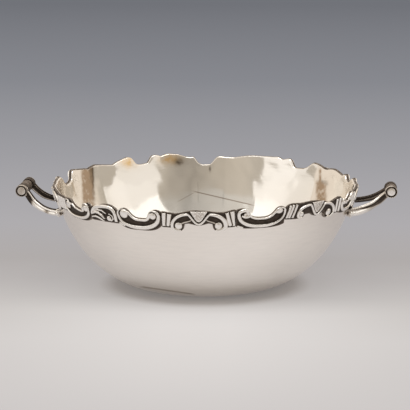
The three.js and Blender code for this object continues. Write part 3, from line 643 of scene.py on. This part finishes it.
# the marks' tones: brown stains; dark marks, some of them painted reflections; brown streaks of painted
# reflection
for mark, colour, strength in (("stain", (0.86, 0.62, 0.34), 1.5), ("dark_marks_and_reflections", (0.10, 0.075, 0.05), 1.3),
                               ("reflection_streak", (0.42, 0.32, 0.23), 1.5)):
    patches = ramp(tree, blotches, [(0.25, 0.35), (0.7, strength)])
    patchy = maths(tree, "MULTIPLY", attribute(tree, mark), patches)
    patchy.node.use_clamp = True
    tone = mix(tree, patchy, tone, (*colour, 1))
# painted shade: dark lines along the crease and the short edge inside, and along the fold outside
for mark, (normal, offset), width, strength in (
        ("crease", crease_plane, 0.6, 0.9), ("fold", fold_plane, 0.7, 0.8),
        ("side_edge", side_edge_plane, 0.5, 0.4)):
    across = tree.nodes.new("ShaderNodeVectorMath")
    across.operation = "DOT_PRODUCT"
    feed(tree, across.inputs[0], new_node(tree, "TexCoord", "Object"))
    feed(tree, across.inputs[1], normal)
    away = maths(tree, "ABSOLUTE", maths(tree, "SUBTRACT", across.outputs["Value"], offset * 0.001))
    line = span_of(tree, away, 0.0, width * 0.001, strength, 0.0)
    line = maths(tree, "MULTIPLY", line, attribute(tree, mark))
    tone = mix(tree, line, tone, (0.30, 0.22, 0.16, 1))
satin = ramp(tree, rubbed, [(0.30, 0.30), (0.70, 0.42)])
bright = ramp(tree, rubbed, [(0.30, 0.09), (0.70, 0.15)])
bump = new_node(tree, "Bump", "Normal", Height=rubbed, Strength=0.12, Distance=0.0001)
fill(tree, shader, Metallic=1.0, Base_Color=tone, Roughness=mix(tree, is_inside, satin, bright),
     Normal=bump)
bowl.data.materials.append(raised_silver)

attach(bowl, "root")
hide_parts("bowl_body")

# The border castings
# Sterling castings soldered over the sawn rim. Round mouldings stand on a thin plate, the hollows hold
# dark tarnish with painted shade, a dark margin of plate under the mouldings is a painted shadow line
# with tarnish, and the high parts are polished. Made flat and bent to the wall.

plate_thickness = 0.9
moulding_height = 2.3
casting_grain = 0.25
field_thickness = 0.8
field_rise = 0.75
pebble_height = 0.16


def hollows(mesh, passes):
    """How far each point lies below the surface around it, in millimetres."""
    points = points_of(mesh)
    count = len(points)
    ends = np.empty(len(mesh.edges) * 2, np.int32)
    mesh.edges.foreach_get("vertices", ends)
    a, b = ends.reshape(-1, 2).T
    degree = np.bincount(a, minlength=count) + np.bincount(b, minlength=count)
    soft = points.copy()
    for _ in range(passes):
        total = np.zeros_like(soft)
        for axis in range(3):
            total[:, axis] = (np.bincount(a, soft[b, axis], count) + np.bincount(b, soft[a, axis], count))
        soft = 0.5 * soft + 0.5 * total / degree[:, None]
    normal = np.empty(count * 3)
    mesh.vertices.foreach_get("normal", normal)
    return ((soft - points) * normal.reshape(-1, 3)).sum(axis=1)


def drawn(name, dimensions, lines):
    """A curve object through lines of (x, y, z, width) points."""
    curve = bpy.data.curves.new(name, "CURVE")
    curve.dimensions = dimensions
    for line in lines:
        spline = curve.splines.new("POLY")
        spline.points.add(len(line) - 1)
        for point, (x, y, z, width) in zip(spline.points, line):
            point.co = (x, y, z, 1)
            point.radius = width
    piece = bpy.data.objects.new(name, curve)
    bpy.context.collection.objects.link(piece)
    return piece


def bead(name, runs):
    """Round mouldings: runs of (s, out, z, width)."""
    piece = drawn(name, "3D", [[(s, -out, z, width) for s, out, z, width in run] for run in runs])
    piece.data.bevel_depth = 0.5
    piece.data.bevel_resolution = 3
    piece.data.use_fill_caps = True
    return piece


def sheet(name, outline, inner_face, outer_face):
    """A flat sheet cut to an outline of (s, z) points, between two distances out."""
    piece = drawn(name, "2D", [[(s, z, 0, 1) for s, z in outline]])
    piece.data.fill_mode = "BOTH"
    piece.data.splines[0].use_cyclic_u = True
    piece.data.extrude = (outer_face - inner_face) / 2
    piece.rotation_euler.x = math.pi / 2
    piece.location.y = -(outer_face + inner_face) / 2
    return piece


def join_and_cast(pieces, name, grain):
    """Joins the pieces, and gives them the one soft skin of a casting."""
    select_only(pieces)
    bpy.ops.object.convert(target="MESH")
    bpy.ops.object.join()
    whole = bpy.context.object
    whole.name = name
    whole.data.name = name
    bpy.ops.object.transform_apply(location=True, rotation=True, scale=True)
    remesh = whole.modifiers.new("skin", "REMESH")
    remesh.mode = "VOXEL"
    remesh.voxel_size = grain
    bpy.ops.object.modifier_apply(modifier=remesh.name)
    smooth = whole.modifiers.new("soften", "SMOOTH")
    smooth.factor = 0.5
    smooth.iterations = 2
    bpy.ops.object.modifier_apply(modifier=smooth.name)
    return whole


# silver that darkens with tarnish and painted shade in the hollows and on the low plate, patchy, with a cast
# grain
cast_silver = bpy.data.materials.new("cast_silver")
tree, shader = node_tree(cast_silver)
patches = placed_noise(tree, (1, 1, 1), 420.0, 3.0)
wear_and_shade = mix(tree, 0.25, attribute(tree, "patina_and_shade"), patches, kind="FLOAT")
tone = ramp(tree, wear_and_shade, [(0.12, (0.95, 0.92, 0.88)), (0.34, (0.62, 0.56, 0.49)),
                         (0.62, (0.14, 0.11, 0.09)), (0.82, (0.055, 0.044, 0.036))])
dulled = ramp(tree, wear_and_shade, [(0.15, 0.24), (0.65, 0.55)])
grain = placed_noise(tree, (1, 1, 1), 1500.0, 2.0)
bump = new_node(tree, "Bump", "Normal", Height=grain, Strength=0.35, Distance=0.00012)
fill(tree, shader, Metallic=1.0, Base_Color=tone, Roughness=dulled, Normal=bump)

for name, middle, half, (top, bottom, mouldings, balls, field) in castings:
    s = np.linspace(-half, half, int(half * 5))
    outline = list(zip(s, top(s))) + list(zip(s[::-1], bottom(s[::-1])))
    plate = sheet(name + "_plate", outline, -seat_gap - 0.02, plate_thickness)
    runs = [[(a, moulding_height * rise - w / 2, b, w) for a, b, w in path] for path, rise in mouldings]
    pieces = [plate, bead(name + "_mouldings", runs)]
    for a, b, size, tall in balls:
        bpy.ops.mesh.primitive_uv_sphere_add(segments=24, ring_count=14, radius=size,
                                             location=(a, -plate_thickness, b))
        bpy.context.object.scale.y = (moulding_height + 0.15 - plate_thickness) / size
        bpy.context.object.scale.z = tall
        pieces.append(bpy.context.object)
    if field is not None:
        field_face = plate_thickness + field_rise
        pieces.append(sheet(name + "_field", field, field_face - field_thickness, field_face))
    casting = join_and_cast(pieces, name + "_casting", casting_grain)

    # the field's pebbles and the tarnish with painted shade, while it is flat, then the bend to the wall
    points = points_of(casting.data)
    s, out, z = points[:, 0], -points[:, 1], points[:, 2]
    z = np.minimum(z, top(s) + 0.1)
    # the low plate is dark: tarnish between the mouldings, and painted shadow along its margin under them and
    # at its top edge
    low_patina_and_shade = np.clip((1.5 - out) / 0.5, 0, 1) * 0.85
    if field is not None:
        within = (s > field[0, 0]) & (s < field[-1, 0]) & (z > np.interp(s, *field.T)) & (out > 1.2)
        pebbles = np.sin(s * 4.6 + 2 * np.sin(z * 2.1)) * np.sin(z * 5.1 - 2 * np.sin(s * 1.7))
        out = out + np.where(within, pebble_height * pebbles, 0)
        low_patina_and_shade = np.where(within, 0.16 - 0.14 * pebbles, low_patina_and_shade)
    points = np.stack([s, -out, z], axis=1)
    move_points(casting.data, points)
    # hollows darker still: tarnish and painted shade
    cavity = hollows(casting.data, 20)
    add_attribute(casting.data, "patina_and_shade", np.clip(low_patina_and_shade + cavity * 1.6, 0, 1))
    turn = middle + s / rim_radius
    radius = wall_radius(bowl_height + z) + seat_gap + out
    points = np.stack([radius * np.sin(turn), -radius * np.cos(turn), bowl_height + z], axis=1)
    move_points(casting.data, points)
    to_frame(casting)
    casting.data.materials.append(cast_silver)
    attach(casting, "root")
    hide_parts(name)

# The handles
# A cast silver handle at each side: two fluted arms rise from lobed feet on the wall and roll
# over at their ends, and a ringed bar joins the rolls. The parts are soldered together.

crossbar_drop = 3.7
roll_radius = 4.1
roll_width = 6.2
spread_at_bar = 9.0
spread_at_wall = 19.5
arm_width = 5.8
arm_thickness = 4.1
ring_radius = 3.7
bar_half = spread_at_bar - roll_width / 2 + 0.2
handle_grain = 0.2
foot_depth = 0.3

# name, turn, reach, lean, skew, root's drop, and the arms: side, then the line's thickness at
# its heel and neck, its lift and its sag
handles = [
    ("right", 0.0, 23.0, 2.5, -1.5, 15.0, [
        ("front_arm", -1, (1.25, 1.1, 0.0, 0.0)), ("rear_arm", 1, (0.78, 0.85, 0.7, 0.0))]),
    ("left", math.pi, 19.6, 3.5, -6.0, 16.2, [
        ("front_arm", 1, (0.88, 1.05, -0.4, 1.3)), ("rear_arm", -1, (0.7, 0.8, 0.7, 0.0))]),
]

# half of an arm's section, from the flute in its top round the side to the middle of its foot
half_section = [(0.0, 0.16), (0.10, 0.19), (0.19, 0.32), (0.26, 0.46), (0.34, 0.50), (0.43, 0.44),
                (0.48, 0.32), (0.44, 0.20), (0.37, 0.12), (0.44, 0.03), (0.51, -0.08), (0.53, -0.22),
                (0.47, -0.38), (0.33, -0.49), (0.15, -0.53)]
section = half_section + [(0.0, -0.54)] + [(-w, t) for w, t in half_section[:0:-1]]


def turn_about_y(angle, centre):
    bpy.ops.transform.rotate(value=angle, orient_axis="Y", orient_type="GLOBAL", center_override=centre)


def arm_line(reach, lean, skew, root_drop, side, shape):
    """The line of one arm, from the wall to the end of its roll: x, z and thickness."""
    along = side * spread_at_bar
    bar_x = rim_radius + reach - along * math.tan(math.radians(skew))
    bar_z = bowl_height - crossbar_drop - along * math.tan(math.radians(lean))
    root_z = bowl_height - root_drop
    root_x = float(wall_radius(root_z))
    span, rise = bar_x - roll_radius - root_x, bar_z - root_z
    heel, neck, lift, sag = shape
    stations = [(root_x + span * a, bar_z - rise * b + lift - sag * c, d) for a, b, c, d in (
        (-0.1, 1, 0, heel), (0.2, 0.97, 0.3, heel), (0.47, 0.84, 0.7, heel), (0.68, 0.67, 1, neck),
        (0.87, 0.44, 0.9, neck))]
    track = roll_radius - 0.8
    for angle, thickness in ((203, 0.9), (155, 0.5), (110, 0.38), (70, 0.38)):
        around = math.radians(angle)
        stations.append((bar_x + track * math.cos(around), bar_z + track * math.sin(around), thickness))
    stations = np.array(stations)
    line = []
    last = len(stations) - 1
    for i in range(last):
        p0, p1 = stations[max(i - 1, 0)], stations[i]
        p2, p3 = stations[i + 1], stations[min(i + 2, last)]
        for share in (0, 0.25, 0.5, 0.75):
            line.append(0.5 * (2 * p1 + (p2 - p0) * share + (2 * p0 - 5 * p1 + 4 * p2 - p3) * share**2
                               + (3 * p1 - p0 - 3 * p2 + p3) * share**3))
    line.append(stations[-1])
    line = np.array(line)
    ahead = np.gradient(line[:, :2], axis=0)
    climb = np.unwrap(np.arctan2(ahead[:, 1], ahead[:, 0]))
    return line, climb, (root_x, root_z, span), (bar_x, along, bar_z)


def arm_middle(x, side, root):
    """How far the arm's middle lies to the side of the handle's middle."""
    share = np.clip((x - root[0]) / root[2], 0, 1)
    share = share * share * (3 - 2 * share)
    return side * (spread_at_wall + (spread_at_bar - spread_at_wall) * share)


def rolled_arm(lean, skew, side, arm):
    """One arm: its section pushed out along its line, then the roll and the foot's lobes."""
    line, climb, root, roll_place = arm
    bpy.ops.object.select_all(action="DESELECT")
    bpy.ops.mesh.primitive_circle_add(vertices=len(section), radius=1, fill_type="NGON")
    arm = bpy.context.object
    x, z, thickness = line[0]
    w, t = np.array(section).T
    up = t * arm_thickness * thickness
    move_points(arm.data, np.stack([x - up * math.sin(climb[0]), w * arm_width,
                                    z + up * math.cos(climb[0])], axis=1))
    bpy.ops.object.mode_set(mode="EDIT")
    bpy.ops.mesh.select_all(action="SELECT")
    for i in range(1, len(line)):
        (x0, z0, t0), (x1, z1, t1) = line[i - 1], line[i]
        bpy.ops.mesh.extrude_region_move(TRANSFORM_OT_translate={"value": (x1 - x0, 0, z1 - z0)})
        turn_about_y(climb[i] - climb[i - 1], (x1, 0, z1))
        bpy.ops.transform.resize(value=(t1 / t0, 1, t1 / t0), center_override=(x1, 0, z1))
    bpy.ops.mesh.select_all(action="SELECT")
    bpy.ops.mesh.normals_make_consistent(inside=False)
    bpy.ops.object.mode_set(mode="OBJECT")
    points = points_of(arm.data)
    points[:, 2] -= points[:, 1] * math.tan(math.radians(lean))
    points[:, 1] += arm_middle(points[:, 0], side, root)
    move_points(arm.data, points)

    bpy.ops.object.select_all(action="DESELECT")
    bpy.ops.mesh.primitive_cylinder_add(vertices=64, radius=roll_radius - 0.25, depth=roll_width)
    roll = bpy.context.object
    bpy.ops.object.mode_set(mode="EDIT")
    bpy.ops.mesh.select_all(action="DESELECT")
    bpy.ops.object.mode_set(mode="OBJECT")
    for face in roll.data.polygons:
        face.select = abs(face.normal.z) > 0.9
    bpy.ops.object.mode_set(mode="EDIT")
    for inset, spread in ((0.9, 0.66), (0.5, 1.45), (1.2, 1.06)):
        bpy.ops.mesh.inset(thickness=inset, use_individual=True)
        bpy.ops.transform.resize(value=(1, 1, spread))
    bpy.ops.object.mode_set(mode="OBJECT")
    roll.rotation_euler = (math.pi / 2 - math.radians(lean), 0, math.radians(skew))
    roll.location = roll_place

    pieces = [arm, roll]
    for out, across, drop, size in ((0.6, 0.0, 0.3, 2.5), (0.9, 2.2, 0.7, 1.7), (0.9, -2.2, 0.7, 1.7),
                                    (0.3, 0.0, 2.1, 1.6)):
        bpy.ops.mesh.primitive_uv_sphere_add(segments=20, ring_count=12, radius=size)
        lobe = bpy.context.object
        lobe.location = (root[0] + out, side * spread_at_wall + across, root[1] - drop)
        lobe.scale = (0.8, 1, 1)
        pieces.append(lobe)
    return pieces


def ringed_bar(reach, lean, skew):
    """The bar: four turned rings between the rolls, spun from their profile."""
    bar_profile = [(0.0, -bar_half), (2.7, -bar_half)]
    for place, swell in ((-4.25, 0.92), (-1.55, 1.0), (1.5, 1.0), (4.2, 0.92)):
        for angle in np.linspace(-80, 80, 9):
            turn = math.radians(angle)
            bar_profile.append((2.75 + (ring_radius - 2.75) * swell * math.cos(turn) ** 0.7,
                                place + 1.25 * math.sin(turn)))
    bar_profile += [(2.7, bar_half), (0.0, bar_half)]
    bar = spun(bar_profile, 72, "Y")
    bar.rotation_euler = (-math.radians(lean), 0, math.radians(skew))
    bar.location = (rim_radius + reach, 0, bowl_height - crossbar_drop)
    return [bar]


def at_roll(points, reach, lean, skew):
    """Where points lie on the bar: how far along it, and how far from its middle line."""
    line = np.array([-math.tan(math.radians(skew)), 1, -math.tan(math.radians(lean))])
    line /= np.linalg.norm(line)
    away = points - (rim_radius + reach, 0, bowl_height - crossbar_drop)
    along = away @ line
    return along, np.linalg.norm(away - along[:, None] * line, axis=1)


def arm_tarnish_and_shade(points, lean, side, node, arm):
    """Tarnish in the flutes; painted shade on the sides, at the foot, by the roll, towards the end and on the
    rear arms; ridges lighter.
    """
    line, climb, root, roll_place = arm
    across = points[:, 1] - arm_middle(points[:, 0], side, root)
    z = points[:, 2] + across * math.tan(math.radians(lean))
    near = np.hypot(points[:, 0, None] - line[:, 0], z[:, None] - line[:, 1]).argmin(axis=1)
    x0, z0, thickness = line[near].T
    up = (z - z0) * np.cos(climb[near]) - (points[:, 0] - x0) * np.sin(climb[near])
    w, t = across * side / arm_width, up / (arm_thickness * thickness)
    at_side = np.abs(w) > 0.22
    outwards = np.clip((points[:, 0] - root[0]) / root[2], 0, 1)
    flute = 0.95 * peak(w, 0.03, 0.26, 6) * (t > 0)
    # painted shadow where the foot meets the wall
    root_shadow = 0.9 * peak(points[:, 0], root[0] - 1.4, 0.9) * (w > 0.1) * peak(t, -0.1, 0.3)
    if node == "right_handle_front_arm":
        # painted shade along the channel in the arm's sides
        centre = np.interp(outwards, (0.28, 0.68, 0.87), (0.33, -0.02, 0.0))
        wide = np.interp(outwards, (0.28, 0.68, 0.87), (0.13, 0.23, 0.42))
        channel = (0.6 + 0.4 * outwards) * peak(t, centre, wide, 4) * at_side
        # painted shade dimming the arm towards its outer end
        outer_shade = 0.24 * np.clip((outwards - 0.3) / 0.3, 0, 1)
        return np.maximum.reduce([flute, channel, root_shadow, outer_shade])
    if node == "left_handle_front_arm":
        # painted shade on the side and top that face the rear arm
        far_side_shade = np.clip((0.24 - w) / 0.1, 0, 1) * (t > 0.05)
        # a painted shadow spot low on the arm
        shadow_spot = 0.6 * peak(points[:, 0], 101.0, 1.7) * peak(t, -0.1, 0.35)
        # painted shade low on the arm by the roll
        near_roll = np.clip((outwards - 0.84) / 0.08, 0, 1) * np.clip((0.45 - t) / 0.2, 0, 1)
        return np.maximum.reduce([far_side_shade, shadow_spot, root_shadow, near_roll])
    # the rear arms: painted shade over all but a paler stripe, with the ridge tops lighter
    pale_stripe = 0.5 * peak(t, 0.0, 0.16) if side > 0 else 0.75 * peak(t, -0.24, 0.1)
    shaded = np.clip(1 - pale_stripe * at_side, 0, 1)
    return np.maximum(flute, shaded - 0.35 * (t > 0.47))


handle_silver = cast_silver.copy()
handle_silver.name = "handle_silver"

for name, turn, reach, lean, skew, root_drop, arms in handles:
    for part, side, shape in arms + [("crossbar", 0, None)]:
        node = name + "_handle_" + part
        if side:
            arm = arm_line(reach, lean, skew, root_drop, side, shape)
            pieces = rolled_arm(lean, skew, side, arm)
        else:
            pieces = ringed_bar(reach, lean, skew)
        piece = join_and_cast(pieces, node + "_casting", handle_grain)
        points = points_of(piece.data)
        out = np.hypot(points[:, 0], points[:, 1])
        seat = wall_radius(points[:, 2]) - foot_depth
        inwards = np.maximum(seat / out, 1)
        points[:, 0] *= inwards
        points[:, 1] *= inwards
        along, radius = at_roll(points, reach, lean, skew)
        if side:
            tarnish_and_shade = arm_tarnish_and_shade(points, lean, side, node, arm)
            depth = spread_at_bar + roll_width / 2 - along * side
            # on the rolls: a dark ring in the face's groove, the left roll's button darker, and the rolls'
            # sides dark
            face = peak(radius, 3.1, 0.6)
            face += (0.35 if name == "left" else 0.0) * (radius < 2.2)
            rolled = np.where(depth < 0.8, face, 0.85)
            on_roll = (radius < roll_radius + 0.2) & (depth < roll_width + 0.3)
            tarnish_and_shade = np.where(on_roll, np.where(radius > 3.7, tarnish_and_shade * 0.4 + rolled * 0.6, rolled), tarnish_and_shade)
        else:
            # the bar: dark all over, darkest between its rings
            tarnish_and_shade = 0.72 + 0.28 * np.clip((3.45 - radius) / 0.25, 0, 1)
        turned = points.copy()
        turned[:, 0] = points[:, 0] * math.cos(turn) - points[:, 1] * math.sin(turn)
        turned[:, 1] = points[:, 0] * math.sin(turn) + points[:, 1] * math.cos(turn)
        move_points(piece.data, turned)
        cavity = hollows(piece.data, 40)
        # hollows darker and bumps a little lighter: tarnish and painted shade
        add_attribute(piece.data, "patina_and_shade", np.clip(tarnish_and_shade + np.clip(cavity * 1.2, -0.1, 0.35), 0, 1))
        to_frame(piece)
        piece.data.materials.append(handle_silver)
        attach(piece, "root")
        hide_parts(node)

# The floor and the light
# A plain matt sweep, pale in front and darker towards the back. Large soft lamps stand at both
# sides and one hangs overhead, in a warm room that is darker in front of the bowl than behind it.

panel_distance = 2.0

bpy.ops.object.select_all(action="DESELECT")
bpy.ops.mesh.primitive_plane_add(size=2, location=(0, 0, 0))
floor = bpy.context.object
floor.name = "floor"
bpy.ops.object.mode_set(mode="EDIT")
bpy.ops.transform.resize(value=(5, 5, 1))
bpy.ops.mesh.subdivide(number_cuts=9)
bpy.ops.object.mode_set(mode="OBJECT")
pale = bpy.data.materials.new("pale_floor")
tree, shader = node_tree(pale)


def coordinates(tree, kind):
    return new_node(tree, "SeparateXYZ", "X", Vector=new_node(tree, "TexCoord", kind)).node.outputs


place = coordinates(tree, "Object")
sweep = ramp(tree, span_of(tree, place["Y"], -0.3, 2.2), [
    (0.0, (0.59, 0.565, 0.56)), (0.06, (0.625, 0.60, 0.59)), (0.09, (0.585, 0.56, 0.545)),
    (0.125, (0.48, 0.457, 0.452)), (0.15, (0.43, 0.408, 0.404)), (0.20, (0.42, 0.41, 0.428)),
    (0.33, (0.337, 0.337, 0.362)), (0.54, (0.242, 0.25, 0.279)), (0.93, (0.165, 0.174, 0.198))])
# a painted pool of light on the floor in front of the bowl
sideways = maths(tree, "ABSOLUTE", place["X"])
painted_light_pool = maths(tree, "MULTIPLY", span_of(tree, sideways, 0.02, 0.14, 1.0, 0.0),
             span_of(tree, place["Y"], -0.04, -0.085))
painted_light_pool = maths(tree, "MULTIPLY", painted_light_pool, span_of(tree, place["Y"], -0.3, -0.12, 0.2, 1.0))
sweep = mix(tree, painted_light_pool, sweep, (0.74, 0.71, 0.695, 1))
fill(tree, shader, Base_Color=sweep, Roughness=0.9)
# away from the bowl, the floor that is seen, also in the silver, shows its own even light
seen = tree.nodes.new("ShaderNodeLightPath").outputs
either = maths(tree, "MAXIMUM", seen["Is Camera Ray"], seen["Is Glossy Ray"])
x_squared = maths(tree, "MULTIPLY", place["X"], place["X"])
y_squared = maths(tree, "MULTIPLY", place["Y"], place["Y"])
from_middle = maths(tree, "SQRT", maths(tree, "ADD", x_squared, y_squared))
own_light = ramp(tree, span_of(tree, from_middle, 0.0, 0.1), [(0.58, 0.27), (0.70, 0.74), (0.9, 0.85)])
own_light = maths(tree, "MULTIPLY", own_light, either)
# painted reflection: in the silver the floor glows up to 15% brighter towards the sides
mirrored = span_of(tree, sideways, 0.02, 0.12, 0.0, 0.15)
mirrored = maths(tree, "MULTIPLY", mirrored, seen["Is Glossy Ray"])
glow = new_node(tree, "Emission", "Emission", Color=sweep, Strength=maths(tree, "ADD", mirrored, 1.0))
blend = new_node(tree, "MixShader", "Shader", Fac=own_light)
tree.links.new(shader.outputs["BSDF"], blend.node.inputs[1])
tree.links.new(glow, blend.node.inputs[2])
fill(tree, tree.nodes["Material Output"], Surface=blend)
floor.data.materials.append(pale)

# the room: its front and back walls by direction
world = bpy.data.worlds.new("studio")
bpy.context.scene.world = world
world.use_nodes = True
tree = world.node_tree
way = coordinates(tree, "Generated")
front_wall = mix(tree, span_of(tree, way["Z"], 0.58, 0.66),
                 (0.60, 0.54, 0.46, 1), (0.68, 0.64, 0.58, 1))
shade = ramp(tree, span_of(tree, way["X"], -1.0, 1.0), [
    (0.20, 0.85), (0.275, 1.0), (0.45, 0.82), (0.55, 0.71), (0.625, 0.58), (0.725, 0.75), (0.80, 0.85)])
front_wall = mix(tree, 1.0, front_wall, shade, blend="MULTIPLY")
low_right = maths(tree, "MULTIPLY", span_of(tree, way["X"], 0.0, 0.8, 0.0, 0.12),
                  span_of(tree, way["Z"], 0.42, 0.50, 1.0, 0.0))
behind = maths(tree, "SUBTRACT", way["Y"], low_right)
walls = mix(tree, span_of(tree, behind, 0.10, 0.20), front_wall, (0.86, 0.77, 0.67, 1))
fill(tree, tree.nodes["Background"], Color=walls)

# upright panels at the sides: the angles from the front and the heights that each spans, and glow
for name, start, end, bottom, top, glow in (
        ("low_right_panel", 42.5, 80, 0.42, 0.95, 0.40),
        ("right_panel", 45, 80, 0.95, 1.60, 0.46),
        ("high_right_panel", 47, 97, 1.60, 3.6, 0.72),
        ("far_right_panel", 80, 97, 0.70, 1.6, 0.52),
        ("left_panel", -80, -48.5, 0.42, 0.95, 0.53),
        ("middle_left_panel", -80, -45.5, 0.95, 1.50, 0.55),
        ("high_left_panel", -80, -47, 1.50, 3.6, 0.66),
        ("far_left_panel", -101, -80, 0.45, 3.6, 0.40)):
    lamp = bpy.data.lights.new(name, "AREA")
    lamp.shape = "RECTANGLE"
    lamp.size = 2 * panel_distance * math.tan(math.radians(end - start) / 2)
    lamp.size_y = top - bottom
    lamp.energy = math.pi * lamp.size * lamp.size_y * glow
    piece = bpy.data.objects.new(name, lamp)
    turn = math.radians((start + end) / 2)
    piece.location = (panel_distance * math.sin(turn), -panel_distance * math.cos(turn),
                      (top + bottom) / 2)
    piece.rotation_euler = (math.pi / 2, 0, turn)
    bpy.context.collection.objects.link(piece)
overhead = bpy.data.lights.new("overhead", "AREA")
overhead.size = 1.3
overhead.energy = math.pi * overhead.size**2 * 3.2
piece = bpy.data.objects.new("overhead", overhead)
piece.location = (0.0, -0.45, 1.9)
piece.rotation_euler = (math.radians(-13), 0, 0)
bpy.context.collection.objects.link(piece)

# The camera
# A long lens 1.3 m away, ten degrees above the rim and turned a little towards the right
# handle. It looks slightly below the rim, which puts the bowl where it stands in the picture.

view_distance = 1.344
view_turn = math.radians(2.5)
view_rise = math.radians(10)
view_pitch = math.radians(10.618)
camera = bpy.data.objects.new("camera", bpy.data.cameras.new("camera"))
camera.data.sensor_width = 36
camera.data.lens = 182.3
camera.data.clip_end = 20
camera.location = (view_distance * math.cos(view_rise) * math.sin(view_turn),
                   -view_distance * math.cos(view_rise) * math.cos(view_turn),
                   bowl_height * 0.001 + view_distance * math.sin(view_rise))
camera.rotation_euler = (math.pi / 2 - view_pitch, 0, view_turn)
bpy.context.collection.objects.link(camera)
bpy.context.scene.camera = camera
bpy.context.scene.view_settings.view_transform = "Standard"
